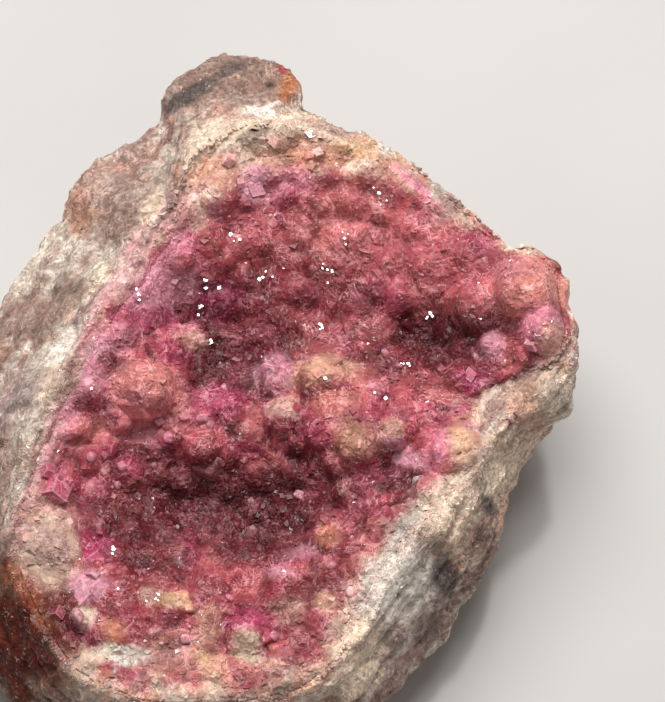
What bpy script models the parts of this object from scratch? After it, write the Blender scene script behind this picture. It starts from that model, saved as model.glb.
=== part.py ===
"""Cobaltoan calcite specimen: a piece of host rock with a shallow vug, and the crystal crust that lines it.

Run it with: blender --background --python part.py
+Z is up. The origin is on the flat resting face, at the middle of the plan outline. The vug faces up, and
+Y runs towards the knob at the narrow end. Plan positions and heights below are in millimetres.
"""

import math

import bmesh
import bpy
import numpy as np
from mathutils import Matrix, Vector

MM = 0.001

# Widest outline of the rock, anticlockwise from +X: x, y, and the height at which it is widest there.
OUTLINE = [
    (27.5, -0.4, 15.0), (28.2, 1.6, 17.0), (28.3, 5.0, 18.0), (27.3, 8.2, 18.0), (27.6, 9.3, 18.0),
    (27.0, 11.0, 19.0), (25.6, 12.0, 20.0), (23.6, 12.8, 20.0), (22.3, 12.7, 19.0), (20.7, 14.2, 19.0),
    (18.9, 16.2, 19.0), (15.3, 19.7, 18.0), (12.6, 22.2, 18.0), (11.2, 23.0, 18.0), (7.7, 24.7, 17.0),
    (3.9, 28.2, 14.0), (3.6, 30.3, 13.0), (2.3, 32.5, 12.5), (0.4, 33.9, 12.0), (-1.8, 33.9, 12.0),
    (-5.0, 33.8, 12.0), (-6.8, 33.1, 12.0), (-8.7, 31.5, 12.0), (-9.0, 29.9, 12.0), (-9.0, 27.7, 12.0),
    (-10.8, 25.8, 12.0), (-14.4, 24.0, 12.0), (-16.2, 22.7, 12.0), (-17.8, 21.0, 11.0), (-18.2, 19.0, 10.0),
    (-20.2, 16.2, 9.5), (-22.0, 13.5, 9.0), (-23.4, 11.2, 9.0), (-25.0, 6.8, 9.0), (-26.6, 1.9, 9.0),
    (-28.7, -5.6, 9.0), (-28.9, -13.1, 9.0), (-26.6, -20.7, 9.0), (-23.2, -27.1, 9.0), (-17.5, -31.8, 8.5),
    (-10.0, -33.8, 8.0), (-2.0, -33.7, 7.5), (5.0, -31.9, 6.5), (9.5, -29.3, 5.5), (12.2, -26.1, 5.0),
    (14.2, -23.4, 4.0), (15.3, -22.0, 4.0), (17.5, -19.6, 5.0), (18.7, -17.6, 5.0), (19.8, -16.2, 6.0),
    (20.7, -13.8, 6.0), (22.0, -11.4, 7.0), (22.1, -8.8, 8.0), (22.5, -5.9, 9.0), (24.1, -3.5, 11.0),
    (25.6, -2.0, 13.0),
]

# Crest of the broken rim round the vug: x, y, height.
CREST = [
    (26.0, 2.3, 19.3), (26.0, 5.9, 20.4), (24.5, 9.9, 20.8), (21.0, 12.4, 19.2), (17.0, 16.2, 18.3),
    (13.0, 19.9, 18.6), (9.0, 21.7, 19.3), (4.0, 23.4, 20.5), (-2.0, 23.9, 21.0), (-6.0, 21.4, 21.0),
    (-8.0, 16.9, 20.4), (-11.5, 10.9, 19.7), (-15.6, 4.4, 19.4), (-19.0, -1.6, 20.0), (-21.2, -7.6, 19.2),
    (-22.0, -14.1, 17.8), (-21.0, -20.6, 17.9), (-17.0, -26.1, 18.7), (-10.0, -28.6, 17.6),
    (-3.0, -28.6, 16.9), (4.0, -27.1, 17.3), (9.0, -23.1, 18.4), (11.5, -18.1, 19.2), (14.0, -13.6, 19.8),
    (17.5, -9.6, 19.2), (20.5, -5.1, 18.5), (23.5, -1.1, 18.6),
]

# Limit of the crystal crust on the rock: x, y.
CRUST_LIMIT = [
    (27.3, 4.9), (26.4, 2.3), (21.6, 0.9), (18.6, -0.6), (19.0, -2.6), (20.6, -5.4), (19.2, -8.2),
    (15.3, -11.1), (12.2, -14.4), (10.3, -17.5), (8.1, -21.3), (6.7, -25.0), (3.6, -27.4), (-3.0, -28.6),
    (-10.0, -28.6), (-16.0, -26.1), (-19.4, -20.6), (-21.1, -16.6), (-21.6, -13.0), (-20.2, -9.2),
    (-18.4, -4.5), (-16.2, 0.1), (-13.5, 5.5), (-10.3, 9.8), (-7.9, 13.6), (-6.3, 17.8), (-4.0, 21.6),
    (-0.4, 24.6), (3.6, 25.4), (7.6, 23.8), (11.2, 22.2), (15.0, 18.8), (18.6, 15.5), (20.4, 13.5),
    (22.3, 12.1), (25.2, 11.3), (26.6, 9.2), (26.8, 7.4),
]

# How steeply the outer slope leaves the crest, by direction in degrees: 1 is even, less falls at once.
SLOPE_POWER = [(0, 1.3), (60, 1.0), (83, 0.55), (106, 0.6), (125, 0.9), (180, 1.0), (270, 1.2), (330, 1.6)]

# Share of the outline that the resting face reaches, by direction in degrees.
BASE_SHARE = [(0, 0.86), (45, 0.84), (92, 0.8), (135, 0.9), (180, 0.9), (235, 0.88), (300, 0.9), (335, 0.9)]

# Flat breaks across the walls: heading and elevation of the way each one faces, distance from the middle.
BREAKS = [
    (8, -26, 23.4), (42, -34, 21.6), (70, -20, 28.4), (97, -40, 25.6), (128, -28, 24.2), (158, -40, 20.8),
    (186, -20, 27.3), (208, -38, 25.8), (232, -18, 32.0), (258, -44, 25.6), (284, -26, 28.4),
    (312, -36, 22.8), (338, -26, 21.8), (92, 24, 32.0), (176, 34, 22.4), (215, 30, 28.4),
]

# Swells and pockets of the face: x, y, height, half-width along x, half-width along y.
SWELLS = [
    (6.8, -1.1, 4.4, 6.0, 4.2), (8.5, -4.9, 2.2, 3.4, 3.0), (-10.5, 0.6, 3.0, 4.5, 3.2),
    (-4.6, -3.2, 2.4, 3.0, 2.6), (19.4, 7.6, 1.2, 3.0, 2.6), (15.0, 6.2, -2.6, 3.4, 2.8),
    (12.8, -7.6, -1.8, 2.6, 2.2), (-1.0, -10.4, -2.8, 6.0, 3.6), (-8.4, -9.0, -1.6, 3.6, 3.0),
    (-4.5, 8.6, -1.2, 5.0, 3.0), (-9.0, -20.6, 2.2, 8.0, 4.0), (2.4, -18.6, 1.8, 5.0, 3.6),
]

# Rounded lumps of the crust: x, y, rise above the crust, radius.
LUMPS = [
    (24.0, 8.9, 1.7, 3.5), (19.6, 7.5, 1.5, 2.5), (20.7, 4.2, 1.1, 1.3), (25.1, 4.9, 1.3, 2.2),
    (24.0, 2.9, 0.9, 1.4), (19.2, 12.6, 0.8, 2.0), (23.4, 11.2, 0.9, 1.0), (5.8, 1.0, 1.8, 2.5),
    (1.3, 1.6, 1.3, 1.4), (2.0, -2.3, 1.6, 1.6), (3.4, -4.4, 0.9, 0.9), (8.7, -5.2, 1.2, 2.0),
    (11.8, -4.0, 1.2, 1.5), (10.3, -0.2, 0.9, 1.0), (14.3, 1.0, 1.2, 1.7), (12.0, 3.9, 0.9, 1.4),
    (17.5, -6.0, 2.2, 2.4), (12.8, -7.4, 1.0, 1.5), (-10.1, 0.2, 1.5, 2.6), (-5.1, -4.5, 1.4, 1.8),
    (-3.2, -1.1, 1.4, 2.1), (-12.6, -2.3, 1.0, 1.5), (-8.0, -3.6, 0.8, 1.2), (-4.5, -17.8, 1.2, 2.2),
    (-1.8, -16.4, 0.9, 1.4), (1.7, -17.5, 1.3, 1.4), (4.4, -15.6, 1.2, 1.3), (6.6, -13.8, 1.2, 1.4),
    (-1.2, -22.7, 1.6, 1.9), (-1.0, -25.6, 0.9, 1.6), (-15.9, -21.8, 1.0, 1.0), (-18.2, -14.6, 1.2, 2.8),
    (-7.8, -20.4, 1.1, 1.5), (-13.2, -23.2, 1.0, 1.5), (-3.5, 9.0, 1.0, 1.8), (11.0, -12.4, 1.1, 1.8),
    (9.2, -16.4, 0.9, 1.5), (15.2, -9.6, 0.9, 1.7), (-4.0, 18.6, 1.0, 2.3), (18.0, 1.6, 1.2, 1.6),
]

# Single crystals that stand out of the crust: x, y, edge length, tilt, heading and spin in degrees.
CRYSTALS = [
    (-15.3, -18.9, 3.2, 38, 300, 12), (-14.8, -14.9, 2.9, 30, 20, 40), (-18.0, -9.3, 2.8, 42, 200, 75),
    (-18.7, -7.8, 2.0, 30, 160, 20), (-12.4, -25.4, 3.4, 20, 80, 5), (-10.6, -24.6, 2.2, 28, 40, 50),
    (-0.5, 18.6, 2.7, 35, 250, 65), (3.4, 18.7, 2.9, 30, 310, 30), (-4.2, 16.2, 2.3, 40, 210, 10),
    (-2.8, 20.8, 2.6, 34, 130, 45), (1.5, 22.4, 2.4, 25, 60, 25), (-3.5, 9.4, 2.6, 22, 90, 55),
    (12.6, -8.0, 2.3, 38, 320, 15), (14.4, -9.0, 2.0, 30, 280, 40), (24.2, 3.4, 2.6, 28, 330, 35),
    (18.6, 1.4, 2.2, 30, 200, 60), (5.4, 20.4, 2.3, 30, 340, 15), (-17.6, -21.0, 2.4, 35, 230, 30),
]

FLOOR_Z = 13.0  # bottom of the smooth dish, before the swells
DISH_POWER = 2.2
CREST_ROUNDING = 0.9  # how far the crest's knife edge is worn down
ROCK_RELIEF = 1.1  # lumps and hollows of the broken rock, peak
LEDGE_RISE = 2.6  # height of one broken ledge on the walls
LEDGE_DEPTH = 0.7

EDGE_RECESS = 0.5  # how deep the rock's seat for the crust lies, at its limit and inside
INNER_RECESS = 2.4
SEAT_GAP = 0.3
EDGE_STAND = 0.3  # how far the crust stands above the face, at its limit and inside
INNER_STAND = 0.4
SEAT_RAMP = 0.12  # shares of the way from the limit to the middle
EDGE_ROUNDING = 0.07

SCATTER_PITCH = 3.1  # small lumps between the named ones
SCATTER_RADIUS = (1.5, 2.2)
SCATTER_RISE = (0.4, 1.0)
CRYSTAL_PITCH = 5.0  # small crystals between the named ones
CRYSTAL_EDGE = (1.5, 2.3)
CRYSTAL_TILT = (10, 50)
RHOMB_FLATTENING = 0.7  # a cube pressed this much along a diagonal has calcite's 102 degree corners
CRYSTAL_STAND = 0.05  # how far a crystal's middle stands above the crust, as a share of its edge
ROOT_CLEARANCE = 0.45  # between a crystal's lowest corner and the seat
EDGE_SHARE = 0.95  # past this share of the limit the crust is too thin to hide a crystal's root
SCATTER_SEED = 11

SEAT_CELLS = 18  # grid cells along one side of the seat, and of the crust's top; both even
TOP_CELLS = 36
SLOPE_SHARES = (0.25, 0.5, 0.75, 1.0)
WALL_SHARES = (0.1, 0.26, 0.44, 0.62, 0.8, 0.93, 1.0)
WALL_POWER = 2.2
RELIEF_CENTRE_Z = 9.0
FOOT_FADE = 3.0  # the relief dies away over this height above the resting face
RELIEF_RUN = 5.0  # and comes up over this distance outside the crust's limit
SLOPE_RELIEF = 0.7  # share of the walls' relief that the slope has

DIRECTIONS = np.arange(0, 360, 0.5)


def ring_table(directions, values):
    """A value for each of DIRECTIONS: straight lines between the given ones, with the corners smoothed."""
    order = np.argsort(directions)
    table = np.interp(DIRECTIONS, np.asarray(directions)[order], np.asarray(values)[order], period=360)
    smoothing = np.array([1, 4, 6, 4, 1]) / 16
    return np.convolve(np.concatenate([table[-2:], table, table[:2]]), smoothing, "valid")


def plan_rings(points):
    """Radius round the origin of a closed outline, and its height where the points have one."""
    columns = np.asarray(points, float).T
    directions = np.degrees(np.arctan2(columns[1], columns[0])) % 360
    rings = [ring_table(directions, np.hypot(columns[0], columns[1]))]
    return rings + [ring_table(directions, column) for column in columns[2:]]


OUTLINE_RADIUS, OUTLINE_Z = plan_rings(OUTLINE)
CREST_RADIUS, CREST_Z = plan_rings(CREST)
(LIMIT_RADIUS,) = plan_rings(CRUST_LIMIT)
SLOPE_TABLE = ring_table(*zip(*SLOPE_POWER))
BASE_TABLE = ring_table(*zip(*BASE_SHARE))


def read_ring(table, direction):
    return np.interp(direction, DIRECTIONS, table, period=360)


def lattice(corner, seed):
    """A repeatable number from -1 to 1 for each whole-number corner of space."""
    x, y, z = corner
    mixed = (x * 73856093) ^ (y * 19349663) ^ (z * 83492791) ^ (seed * 15485863)
    mixed = ((mixed ^ (mixed >> 13)) * 1274126177) & 0xFFFFFFFF
    return ((mixed ^ (mixed >> 16)) & 0xFFFF) / 32767.5 - 1


def noise(points, size, seed):
    """Smooth noise from -1 to 1 with bumps of about that size: lattice numbers eased between corners."""
    scaled = np.asarray(points, float) / size + 1000
    low = np.floor(scaled).astype(np.int64)
    ease = scaled - low
    ease = ease * ease * (3 - 2 * ease)
    total = np.zeros(scaled.shape[:-1])
    for dx in (0, 1):
        for dy in (0, 1):
            for dz in (0, 1):
                corner = np.moveaxis(low + (dx, dy, dz), -1, 0)
                weight = np.prod(np.where((dx, dy, dz), ease, 1 - ease), axis=-1)
                total += weight * lattice(corner, seed)
    return total


def smooth_least(a, b, width):
    """The lesser of two heights, rounded over where they cross."""
    share = np.clip(0.5 + (b - a) / (2 * width), 0, 1)
    return b + (a - b) * share - width * share * (1 - share)


def face_height(x, y):
    """The specimen's smooth face: a dish inside the crest, a slope outside it, and the swells."""
    direction = np.degrees(np.arctan2(y, x)) % 360
    radius = np.hypot(x, y)
    crest, crest_z = read_ring(CREST_RADIUS, direction), read_ring(CREST_Z, direction)
    outer, outer_z = read_ring(OUTLINE_RADIUS, direction), read_ring(OUTLINE_Z, direction)
    dish = FLOOR_Z + (crest_z - FLOOR_Z) * (radius / crest) ** DISH_POWER
    outward = np.clip((radius - crest) / np.maximum(outer - crest, 1.0), -1, 1)
    fall = np.sign(outward) * np.abs(outward) ** read_ring(SLOPE_TABLE, direction)
    slope = crest_z + (outer_z - crest_z) * fall
    height = smooth_least(dish, slope, CREST_ROUNDING)
    for swell_x, swell_y, rise, half_x, half_y in SWELLS:
        height = height + rise * np.exp(-(((x - swell_x) / half_x) ** 2) - ((y - swell_y) / half_y) ** 2)
    return height


def disk_grid(cells):
    """Plan points of a square grid that is bent to fill a disk, then stretched to the crust's limit.

    Each square ring of the grid becomes a round one: its distance from the middle is the larger of the two
    coordinates, and its direction runs evenly along the ring. Returns x, y and the share of the way out.
    """
    line = np.linspace(-1, 1, cells + 1)
    across, along = np.meshgrid(line, line, indexing="ij")
    share = np.maximum(np.abs(across), np.abs(along))
    safe = np.where(share > 0, share, 1)
    side_on = np.abs(across) >= np.abs(along)
    turn = np.where(side_on, along / safe, 2 - across / safe) * 45
    turn = np.where(side_on, np.where(across < 0, 180 - turn, turn), turn * np.sign(along))
    direction = turn % 360
    radius = share * read_ring(LIMIT_RADIUS, direction)
    return radius * np.cos(np.radians(direction)), radius * np.sin(np.radians(direction)), share


def rim_order(cells):
    """Indices of a grid's outer points, anticlockwise from the corner at 315 degrees."""
    index = np.arange((cells + 1) ** 2).reshape(cells + 1, cells + 1)
    return np.concatenate([index[-1, :-1], index[:0:-1, -1], index[0, :0:-1], index[:-1, 0]])


def grid_faces(cells, upward):
    """Triangles of a square grid, each cell cut along a diagonal that alternates."""
    index = np.arange((cells + 1) ** 2).reshape(cells + 1, cells + 1)
    a, b, c, d = index[:-1, :-1], index[1:, :-1], index[1:, 1:], index[:-1, 1:]
    even = (np.add.outer(np.arange(cells), np.arange(cells)) % 2 == 0)[..., None]
    first = np.where(even, np.stack([a, b, c], -1), np.stack([a, b, d], -1)).reshape(-1, 3)
    second = np.where(even, np.stack([a, c, d], -1), np.stack([b, c, d], -1)).reshape(-1, 3)
    faces = np.concatenate([first, second])
    return faces if upward else faces[:, ::-1]


def band_faces(inner, outer):
    """Triangles between two rings of as many points."""
    inner_next, outer_next = np.roll(inner, -1), np.roll(outer, -1)
    first = np.stack([inner, outer, outer_next], -1)
    return np.concatenate([first, np.stack([inner, outer_next, inner_next], -1)])


def seat_height(x, y, share):
    """The rock's surface under the crust: the face less a recess that deepens inwards from the limit."""
    ramp = np.clip((1 - share) / SEAT_RAMP, 0, 1)
    return face_height(x, y) - EDGE_RECESS - (INNER_RECESS - EDGE_RECESS) * ramp


def seat_points():
    """The rock's surface under the crust, as points of the square grid."""
    x, y, share = disk_grid(SEAT_CELLS)
    return np.stack([x, y, seat_height(x, y, share)], -1).reshape(-1, 3)


def broken_relief(points):
    """Lumps, hollows and ledges of broken rock, as a distance outwards from the smooth form."""
    lumps = 0.6 * noise(points, 6.5, 1) + 0.3 * noise(points, 3.1, 2) + 0.15 * noise(points, 1.6, 3)
    level = points[..., 2] / LEDGE_RISE + 0.8 * noise(points, 9.0, 4)
    ledge = np.abs(2 * (level - np.floor(level)) - 1) ** 3
    return ROCK_RELIEF * lumps - LEDGE_DEPTH * ledge


def broken_off(points, amount):
    """Points that lie past a flat break, drawn in level until they are on it."""
    points = points.copy()
    for heading, elevation, distance in BREAKS:
        away = np.array([math.cos(math.radians(heading)), math.sin(math.radians(heading))])
        facing = np.append(away * math.cos(math.radians(elevation)), math.sin(math.radians(elevation)))
        past = (points - (0, 0, RELIEF_CENTRE_Z)) @ facing - distance
        points[..., :2] -= away * (amount * np.maximum(past, 0) / math.cos(math.radians(elevation)))[..., None]
    return points


def with_relief(points, amount):
    """Points moved straight away from the rock's middle by their relief, less so near the resting face."""
    points = broken_off(points, amount)
    fade = np.clip(points[..., 2] / FOOT_FADE, 0, 1)
    outward = points - (0, 0, RELIEF_CENTRE_Z)
    outward[..., 2] *= 0.6
    outward /= np.linalg.norm(outward, axis=-1, keepdims=True)
    return points + outward * (amount * fade * broken_relief(points))[..., None]


def slope_ring(direction, share):
    """The face between the crust's limit and the outline, that share of the way out."""
    limit, outer = read_ring(LIMIT_RADIUS, direction), read_ring(OUTLINE_RADIUS, direction)
    radius = limit + (outer - limit) * share
    x, y = radius * np.cos(np.radians(direction)), radius * np.sin(np.radians(direction))
    points = np.stack([x, y, face_height(x, y)], -1)
    return with_relief(points, np.clip((radius - limit) / RELIEF_RUN, 0, SLOPE_RELIEF))


def wall_ring(direction, share):
    """The wall that share of the way down from the outline to the resting face, drawn in as it goes down."""
    outer, base = read_ring(OUTLINE_RADIUS, direction), read_ring(BASE_TABLE, direction)
    radius = outer * (1 - (1 - base) * share**WALL_POWER)
    x, y = radius * np.cos(np.radians(direction)), radius * np.sin(np.radians(direction))
    points = np.stack([x, y, read_ring(OUTLINE_Z, direction) * (1 - share)], -1)
    return with_relief(points, 1.0)


def rock_mesh():
    """The host rock: the seat, the slope round it, the walls and the flat resting face."""
    around = 4 * SEAT_CELLS
    direction = (315 + np.arange(around) * 360 / around) % 360
    rings = [slope_ring(direction, share) for share in SLOPE_SHARES]
    rings += [wall_ring(direction, share) for share in WALL_SHARES]
    inner_foot = rings[-1] * (0.5, 0.5, 1)
    points = np.concatenate([seat_points(), *rings, inner_foot, [(0, 0, 0)]])
    ring = rim_order(SEAT_CELLS)
    faces = [grid_faces(SEAT_CELLS, True)]
    start = (SEAT_CELLS + 1) ** 2
    for _ in range(len(rings) + 1):
        outer = np.arange(start, start + around)
        faces.append(band_faces(ring, outer))
        ring, start = outer, start + around
    middle = np.full(around, start)
    faces.append(np.stack([ring, middle, np.roll(ring, -1)], -1))
    return points, np.concatenate(faces)


def scattered(rng, pitch, keep_inside):
    """Plan points of a hexagonal grid over the crust, each moved a little, that lie inside its limit."""
    rows = np.arange(-36, 36, pitch * 0.87)
    across = np.arange(-32, 32, pitch)
    x, y = np.meshgrid(across, rows)
    x = x + (np.arange(len(rows)) % 2)[:, None] * pitch / 2
    x, y = x.ravel(), y.ravel()
    x = x + rng.uniform(-0.28, 0.28, x.size) * pitch
    y = y + rng.uniform(-0.28, 0.28, y.size) * pitch
    direction = np.degrees(np.arctan2(y, x)) % 360
    inside = np.hypot(x, y) < read_ring(LIMIT_RADIUS, direction) * keep_inside
    return x[inside], y[inside]


def clear_of(x, y, taken, share):
    """Which points keep that share of each taken place's size from its middle."""
    clear = np.ones(x.shape, bool)
    for taken_x, taken_y, size in taken:
        clear &= np.hypot(x - taken_x, y - taken_y) > share * size
    return clear


def all_lumps(rng):
    """The named lumps, and smaller ones scattered between them."""
    x, y = scattered(rng, SCATTER_PITCH, 0.94)
    radius, rise = rng.uniform(*SCATTER_RADIUS, x.size), rng.uniform(*SCATTER_RISE, x.size)
    clear = clear_of(x, y, [(lump[0], lump[1], lump[3]) for lump in LUMPS], 0.9)
    return LUMPS + list(zip(x[clear], y[clear], rise[clear], radius[clear]))


def crust_height(x, y, share, lumps):
    """Top of the crust: the face and a thin layer, with the caps of balls wherever they stand higher."""
    face = face_height(x, y)
    ramp = np.clip((1 - share) / SEAT_RAMP, 0, 1)
    layer = face + EDGE_STAND + (INNER_STAND - EDGE_STAND) * ramp
    height = layer.copy()
    for lump_x, lump_y, rise, radius in lumps:
        middle_z = face_height(lump_x, lump_y) + INNER_STAND + rise - radius
        above = radius**2 - (x - lump_x) ** 2 - (y - lump_y) ** 2
        height = np.maximum(height, np.where(above > 0, middle_z + np.sqrt(np.maximum(above, 0)), -1))
    past = np.clip((share - 1 + EDGE_ROUNDING) / EDGE_ROUNDING, 0, 1)
    return face + EDGE_STAND + (height - face - EDGE_STAND) * np.sqrt(1 - past**2)


def crust_mesh(lumps):
    """The crust as one closed layer: its lumpy top, and an underside just clear of the rock's seat."""
    x, y, share = disk_grid(TOP_CELLS)
    top = np.stack([x, y, crust_height(x, y, share, lumps)], -1).reshape(-1, 3)
    under = seat_points() + (0, 0, SEAT_GAP)
    top_rim = rim_order(TOP_CELLS)
    low_rim = rim_order(SEAT_CELLS) + len(top)
    low_next, middle = np.roll(low_rim, -1), top_rim[1::2]
    start, end = top_rim[::2], np.roll(top_rim[::2], -1)
    edge = [np.stack([start, low_rim, middle], -1), np.stack([low_rim, low_next, middle], -1)]
    edge.append(np.stack([middle, low_next, end], -1))
    faces = [grid_faces(TOP_CELLS, True), grid_faces(SEAT_CELLS, False) + len(top), *edge]
    return np.concatenate([top, under]), np.concatenate(faces)


def face_normal(x, y):
    """Direction straight out of the smooth face."""
    step = 0.2
    slope_x = (face_height(x + step, y) - face_height(x - step, y)) / (2 * step)
    slope_y = (face_height(x, y + step) - face_height(x, y - step)) / (2 * step)
    return Vector((-slope_x, -slope_y, 1)).normalized()


def rhomb_corners():
    """Corners of a rhombohedron of edge 1 about the origin, its threefold axis upright."""
    cube = [Vector((a, b, c)) for a in (-0.5, 0.5) for b in (-0.5, 0.5) for c in (-0.5, 0.5)]
    upright = Vector((1, 1, 1)).rotation_difference(Vector((0, 0, 1))).to_matrix()
    flat = Matrix.Diagonal((1, 1, RHOMB_FLATTENING))
    corners = [flat @ upright @ corner for corner in cube]
    edge = (corners[1] - corners[0]).length
    return [corner / edge for corner in corners]


RHOMB_QUADS = [(0, 1, 3, 2), (4, 6, 7, 5), (0, 4, 5, 1), (2, 3, 7, 6), (0, 2, 6, 4), (1, 5, 7, 3)]


def limit_share(x, y):
    """How far out a plan point lies, as a share of the crust's limit in its direction."""
    return np.hypot(x, y) / read_ring(LIMIT_RADIUS, np.degrees(np.arctan2(y, x)) % 360)


def crystal_placing(x, y, edge, tilt, heading, spin, lumps):
    """Where a crystal's corners go: rooted in the crust, leaning away from the face's own direction."""
    place = [np.array([value]) for value in (x, y, limit_share(x, y))]
    surface = float(crust_height(*place, lumps)[0])
    lean = Matrix.Rotation(math.radians(heading), 4, "Z") @ Matrix.Rotation(math.radians(tilt), 4, "Y")
    outward = Vector((0, 0, 1)).rotation_difference(face_normal(x, y)).to_matrix().to_4x4()
    turned = outward @ lean @ Matrix.Rotation(math.radians(spin), 4, "Z")
    corners = np.array([turned @ (corner * edge) for corner in rhomb_corners()]) + (x, y, 0)
    # Every corner stays above the crust's underside, and above the bare rock past the limit.
    share = limit_share(corners[:, 0], corners[:, 1])
    ground = seat_height(corners[:, 0], corners[:, 1], share) + SEAT_GAP
    ground = np.where(share > EDGE_SHARE, face_height(corners[:, 0], corners[:, 1]), ground)
    lift = np.max(ground + ROOT_CLEARANCE - corners[:, 2])
    return corners + (0, 0, max(surface + CRYSTAL_STAND * edge, lift))


def all_crystals(rng, lumps):
    """Corners of the named crystals, and of smaller ones scattered between them."""
    x, y = scattered(rng, CRYSTAL_PITCH, 0.85)
    edge, tilt = rng.uniform(*CRYSTAL_EDGE, x.size), rng.uniform(*CRYSTAL_TILT, x.size)
    heading, spin = rng.uniform(0, 360, x.size), rng.uniform(0, 120, x.size)
    clear = clear_of(x, y, [(crystal[0], crystal[1], crystal[2]) for crystal in CRYSTALS], 0.9)
    small = np.stack([x, y, edge, tilt, heading, spin], -1)[clear]
    return [crystal_placing(*crystal, lumps) for crystal in [*CRYSTALS, *small.tolist()]]


def material(name, colour, roughness):
    """A plain finish of one colour."""
    made = bpy.data.materials.new(name)
    made.use_nodes = True
    shader = made.node_tree.nodes["Principled BSDF"]
    shader.inputs["Base Color"].default_value = (*colour, 1)
    shader.inputs["Roughness"].default_value = roughness
    shader.inputs["Metallic"].default_value = 0
    return made


def mesh_object(name, points_mm, faces, finish):
    """An object from points in millimetres, its faces pointing out."""
    mesh = bpy.data.meshes.new(name)
    scaled = [tuple(float(value) * MM for value in point) for point in points_mm]
    mesh.from_pydata(scaled, [], [tuple(int(index) for index in face) for face in faces])
    sides = bmesh.new()
    sides.from_mesh(mesh)
    bmesh.ops.recalc_face_normals(sides, faces=sides.faces)
    sides.to_mesh(mesh)
    sides.free()
    mesh.materials.append(finish)
    made = bpy.data.objects.new(name, mesh)
    bpy.context.scene.collection.objects.link(made)
    return made


def crystal_shapes(corner_lists, finish):
    """All the crystals in one mesh of their own, to be joined to the crust."""
    points = [corner for corners in corner_lists for corner in corners]
    faces = [tuple(index + 8 * i for index in quad) for i in range(len(corner_lists)) for quad in RHOMB_QUADS]
    return mesh_object("crystal_shapes", points, faces, finish)


def keep_largest_island(mesh):
    """Drops the small closed shells that a union leaves, such as pockets shut in between crystals."""
    shape = bmesh.new()
    shape.from_mesh(mesh)
    islands, left = [], set(shape.verts)
    while left:
        island, reached = set(), [left.pop()]
        while reached:
            vert = reached.pop()
            island.add(vert)
            near = {edge.other_vert(vert) for edge in vert.link_edges} & left
            left -= near
            reached.extend(near)
        islands.append(island)
    largest = max(islands, key=len)
    spare = [vert for island in islands if island is not largest for vert in island]
    bmesh.ops.delete(shape, geom=spare, context="VERTS")
    shape.to_mesh(mesh)
    shape.free()


def grow_together(crust, crystals):
    """Joins the crystals to the crust in one solid, and takes the crystals' own mesh away."""
    join = crust.modifiers.new("grown crystals", "BOOLEAN")
    join.operation = "UNION"
    join.solver = "EXACT"
    join.use_self = True
    join.object = crystals
    joined = bpy.data.meshes.new_from_object(crust.evaluated_get(bpy.context.evaluated_depsgraph_get()))
    keep_largest_island(joined)
    crust.modifiers.remove(join)
    crust.data = joined
    bpy.data.objects.remove(crystals)


def main():
    for old in list(bpy.data.objects):
        bpy.data.objects.remove(old)
    rock_finish = material("host rock", (0.50, 0.43, 0.36), 0.85)
    crust_finish = material("cobaltoan calcite", (0.62, 0.13, 0.22), 0.3)
    rng = np.random.default_rng(SCATTER_SEED)
    lumps = all_lumps(rng)
    mesh_object("host_rock", *rock_mesh(), rock_finish)
    crust = mesh_object("calcite_crust", *crust_mesh(lumps), crust_finish)
    grow_together(crust, crystal_shapes(all_crystals(rng, lumps), crust_finish))


main()
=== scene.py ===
"""Cobaltoan calcite specimen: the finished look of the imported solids.

The broken host rock and the crystal crust in its vug are each modelled again as a fine surface, and the
crust is then grown over with thousands of small calcite rhombs. Lengths in the tables are in millimetres,
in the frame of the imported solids: +Z up, +Y towards the knob at the narrow end, the origin on the resting
face.
"""

import math

import bpy
import numpy as np
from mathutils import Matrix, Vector


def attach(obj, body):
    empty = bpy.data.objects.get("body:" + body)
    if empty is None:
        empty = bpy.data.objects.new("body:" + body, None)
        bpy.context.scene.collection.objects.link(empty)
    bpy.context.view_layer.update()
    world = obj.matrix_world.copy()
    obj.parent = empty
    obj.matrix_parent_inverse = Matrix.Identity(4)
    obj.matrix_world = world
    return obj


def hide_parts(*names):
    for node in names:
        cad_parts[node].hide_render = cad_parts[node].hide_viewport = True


bl_info = {
    "name": "Cobaltoan calcite specimen",
    "version": (1, 0, 0),
    "blender": (4, 5, 0),
    "location": "3D View > Sidebar > Specimen",
    "description": "Builds a cobaltoan calcite specimen: host rock, crust, single crystals and stage",
    "category": "Object",
}

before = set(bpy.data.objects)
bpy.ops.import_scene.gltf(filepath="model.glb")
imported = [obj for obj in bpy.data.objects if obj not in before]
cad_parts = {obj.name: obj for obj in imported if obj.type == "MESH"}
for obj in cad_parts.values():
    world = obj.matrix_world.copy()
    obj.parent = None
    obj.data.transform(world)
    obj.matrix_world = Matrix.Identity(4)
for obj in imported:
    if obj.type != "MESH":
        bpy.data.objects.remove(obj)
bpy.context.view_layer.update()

MM = 0.001
BODY = "root"

# Fineness of the surfaces: points round each ring, numbers of rings, and cells along the crust's grid.
ROCK_AROUND = 720
ROCK_SLOPE_RINGS = 46
ROCK_WALL_RINGS = 64
SEAT_RINGS = 8
BORDER_RINGS = 14  # rings of the slope next to the crust that carry its border crystals
CRUST_CELLS = 270
UNDERSIDE_SHARES = (0.97, 0.85, 0.6, 0.3)  # rings of the crust's underside, as shares of its limit
FOOT_SHARES = (0.75, 0.5, 0.25)  # rings of the resting face, as shares of its edge

# The view: its aim, lens and sensor in millimetres, and the camera's and the lights' lengths in metres.
VIEW_AIM = (6.5, 5.4, 12.0)
VIEW_LENS = 341.9
VIEW_SENSOR = 36.0
VIEW_CLIP_START = 0.01
KEY_PLACE = (-0.03, 0.26, 0.56)
KEY_SIZE = 0.5
GLINT_PLACE = (0.1, 0.3, 0.55)
GLINT_SIZE = 0.05
FLOOR_HALF = 1.5

# Seeds of the random draws.
SCATTER_SEED = 11
DRUSE_SEED = 5

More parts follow.
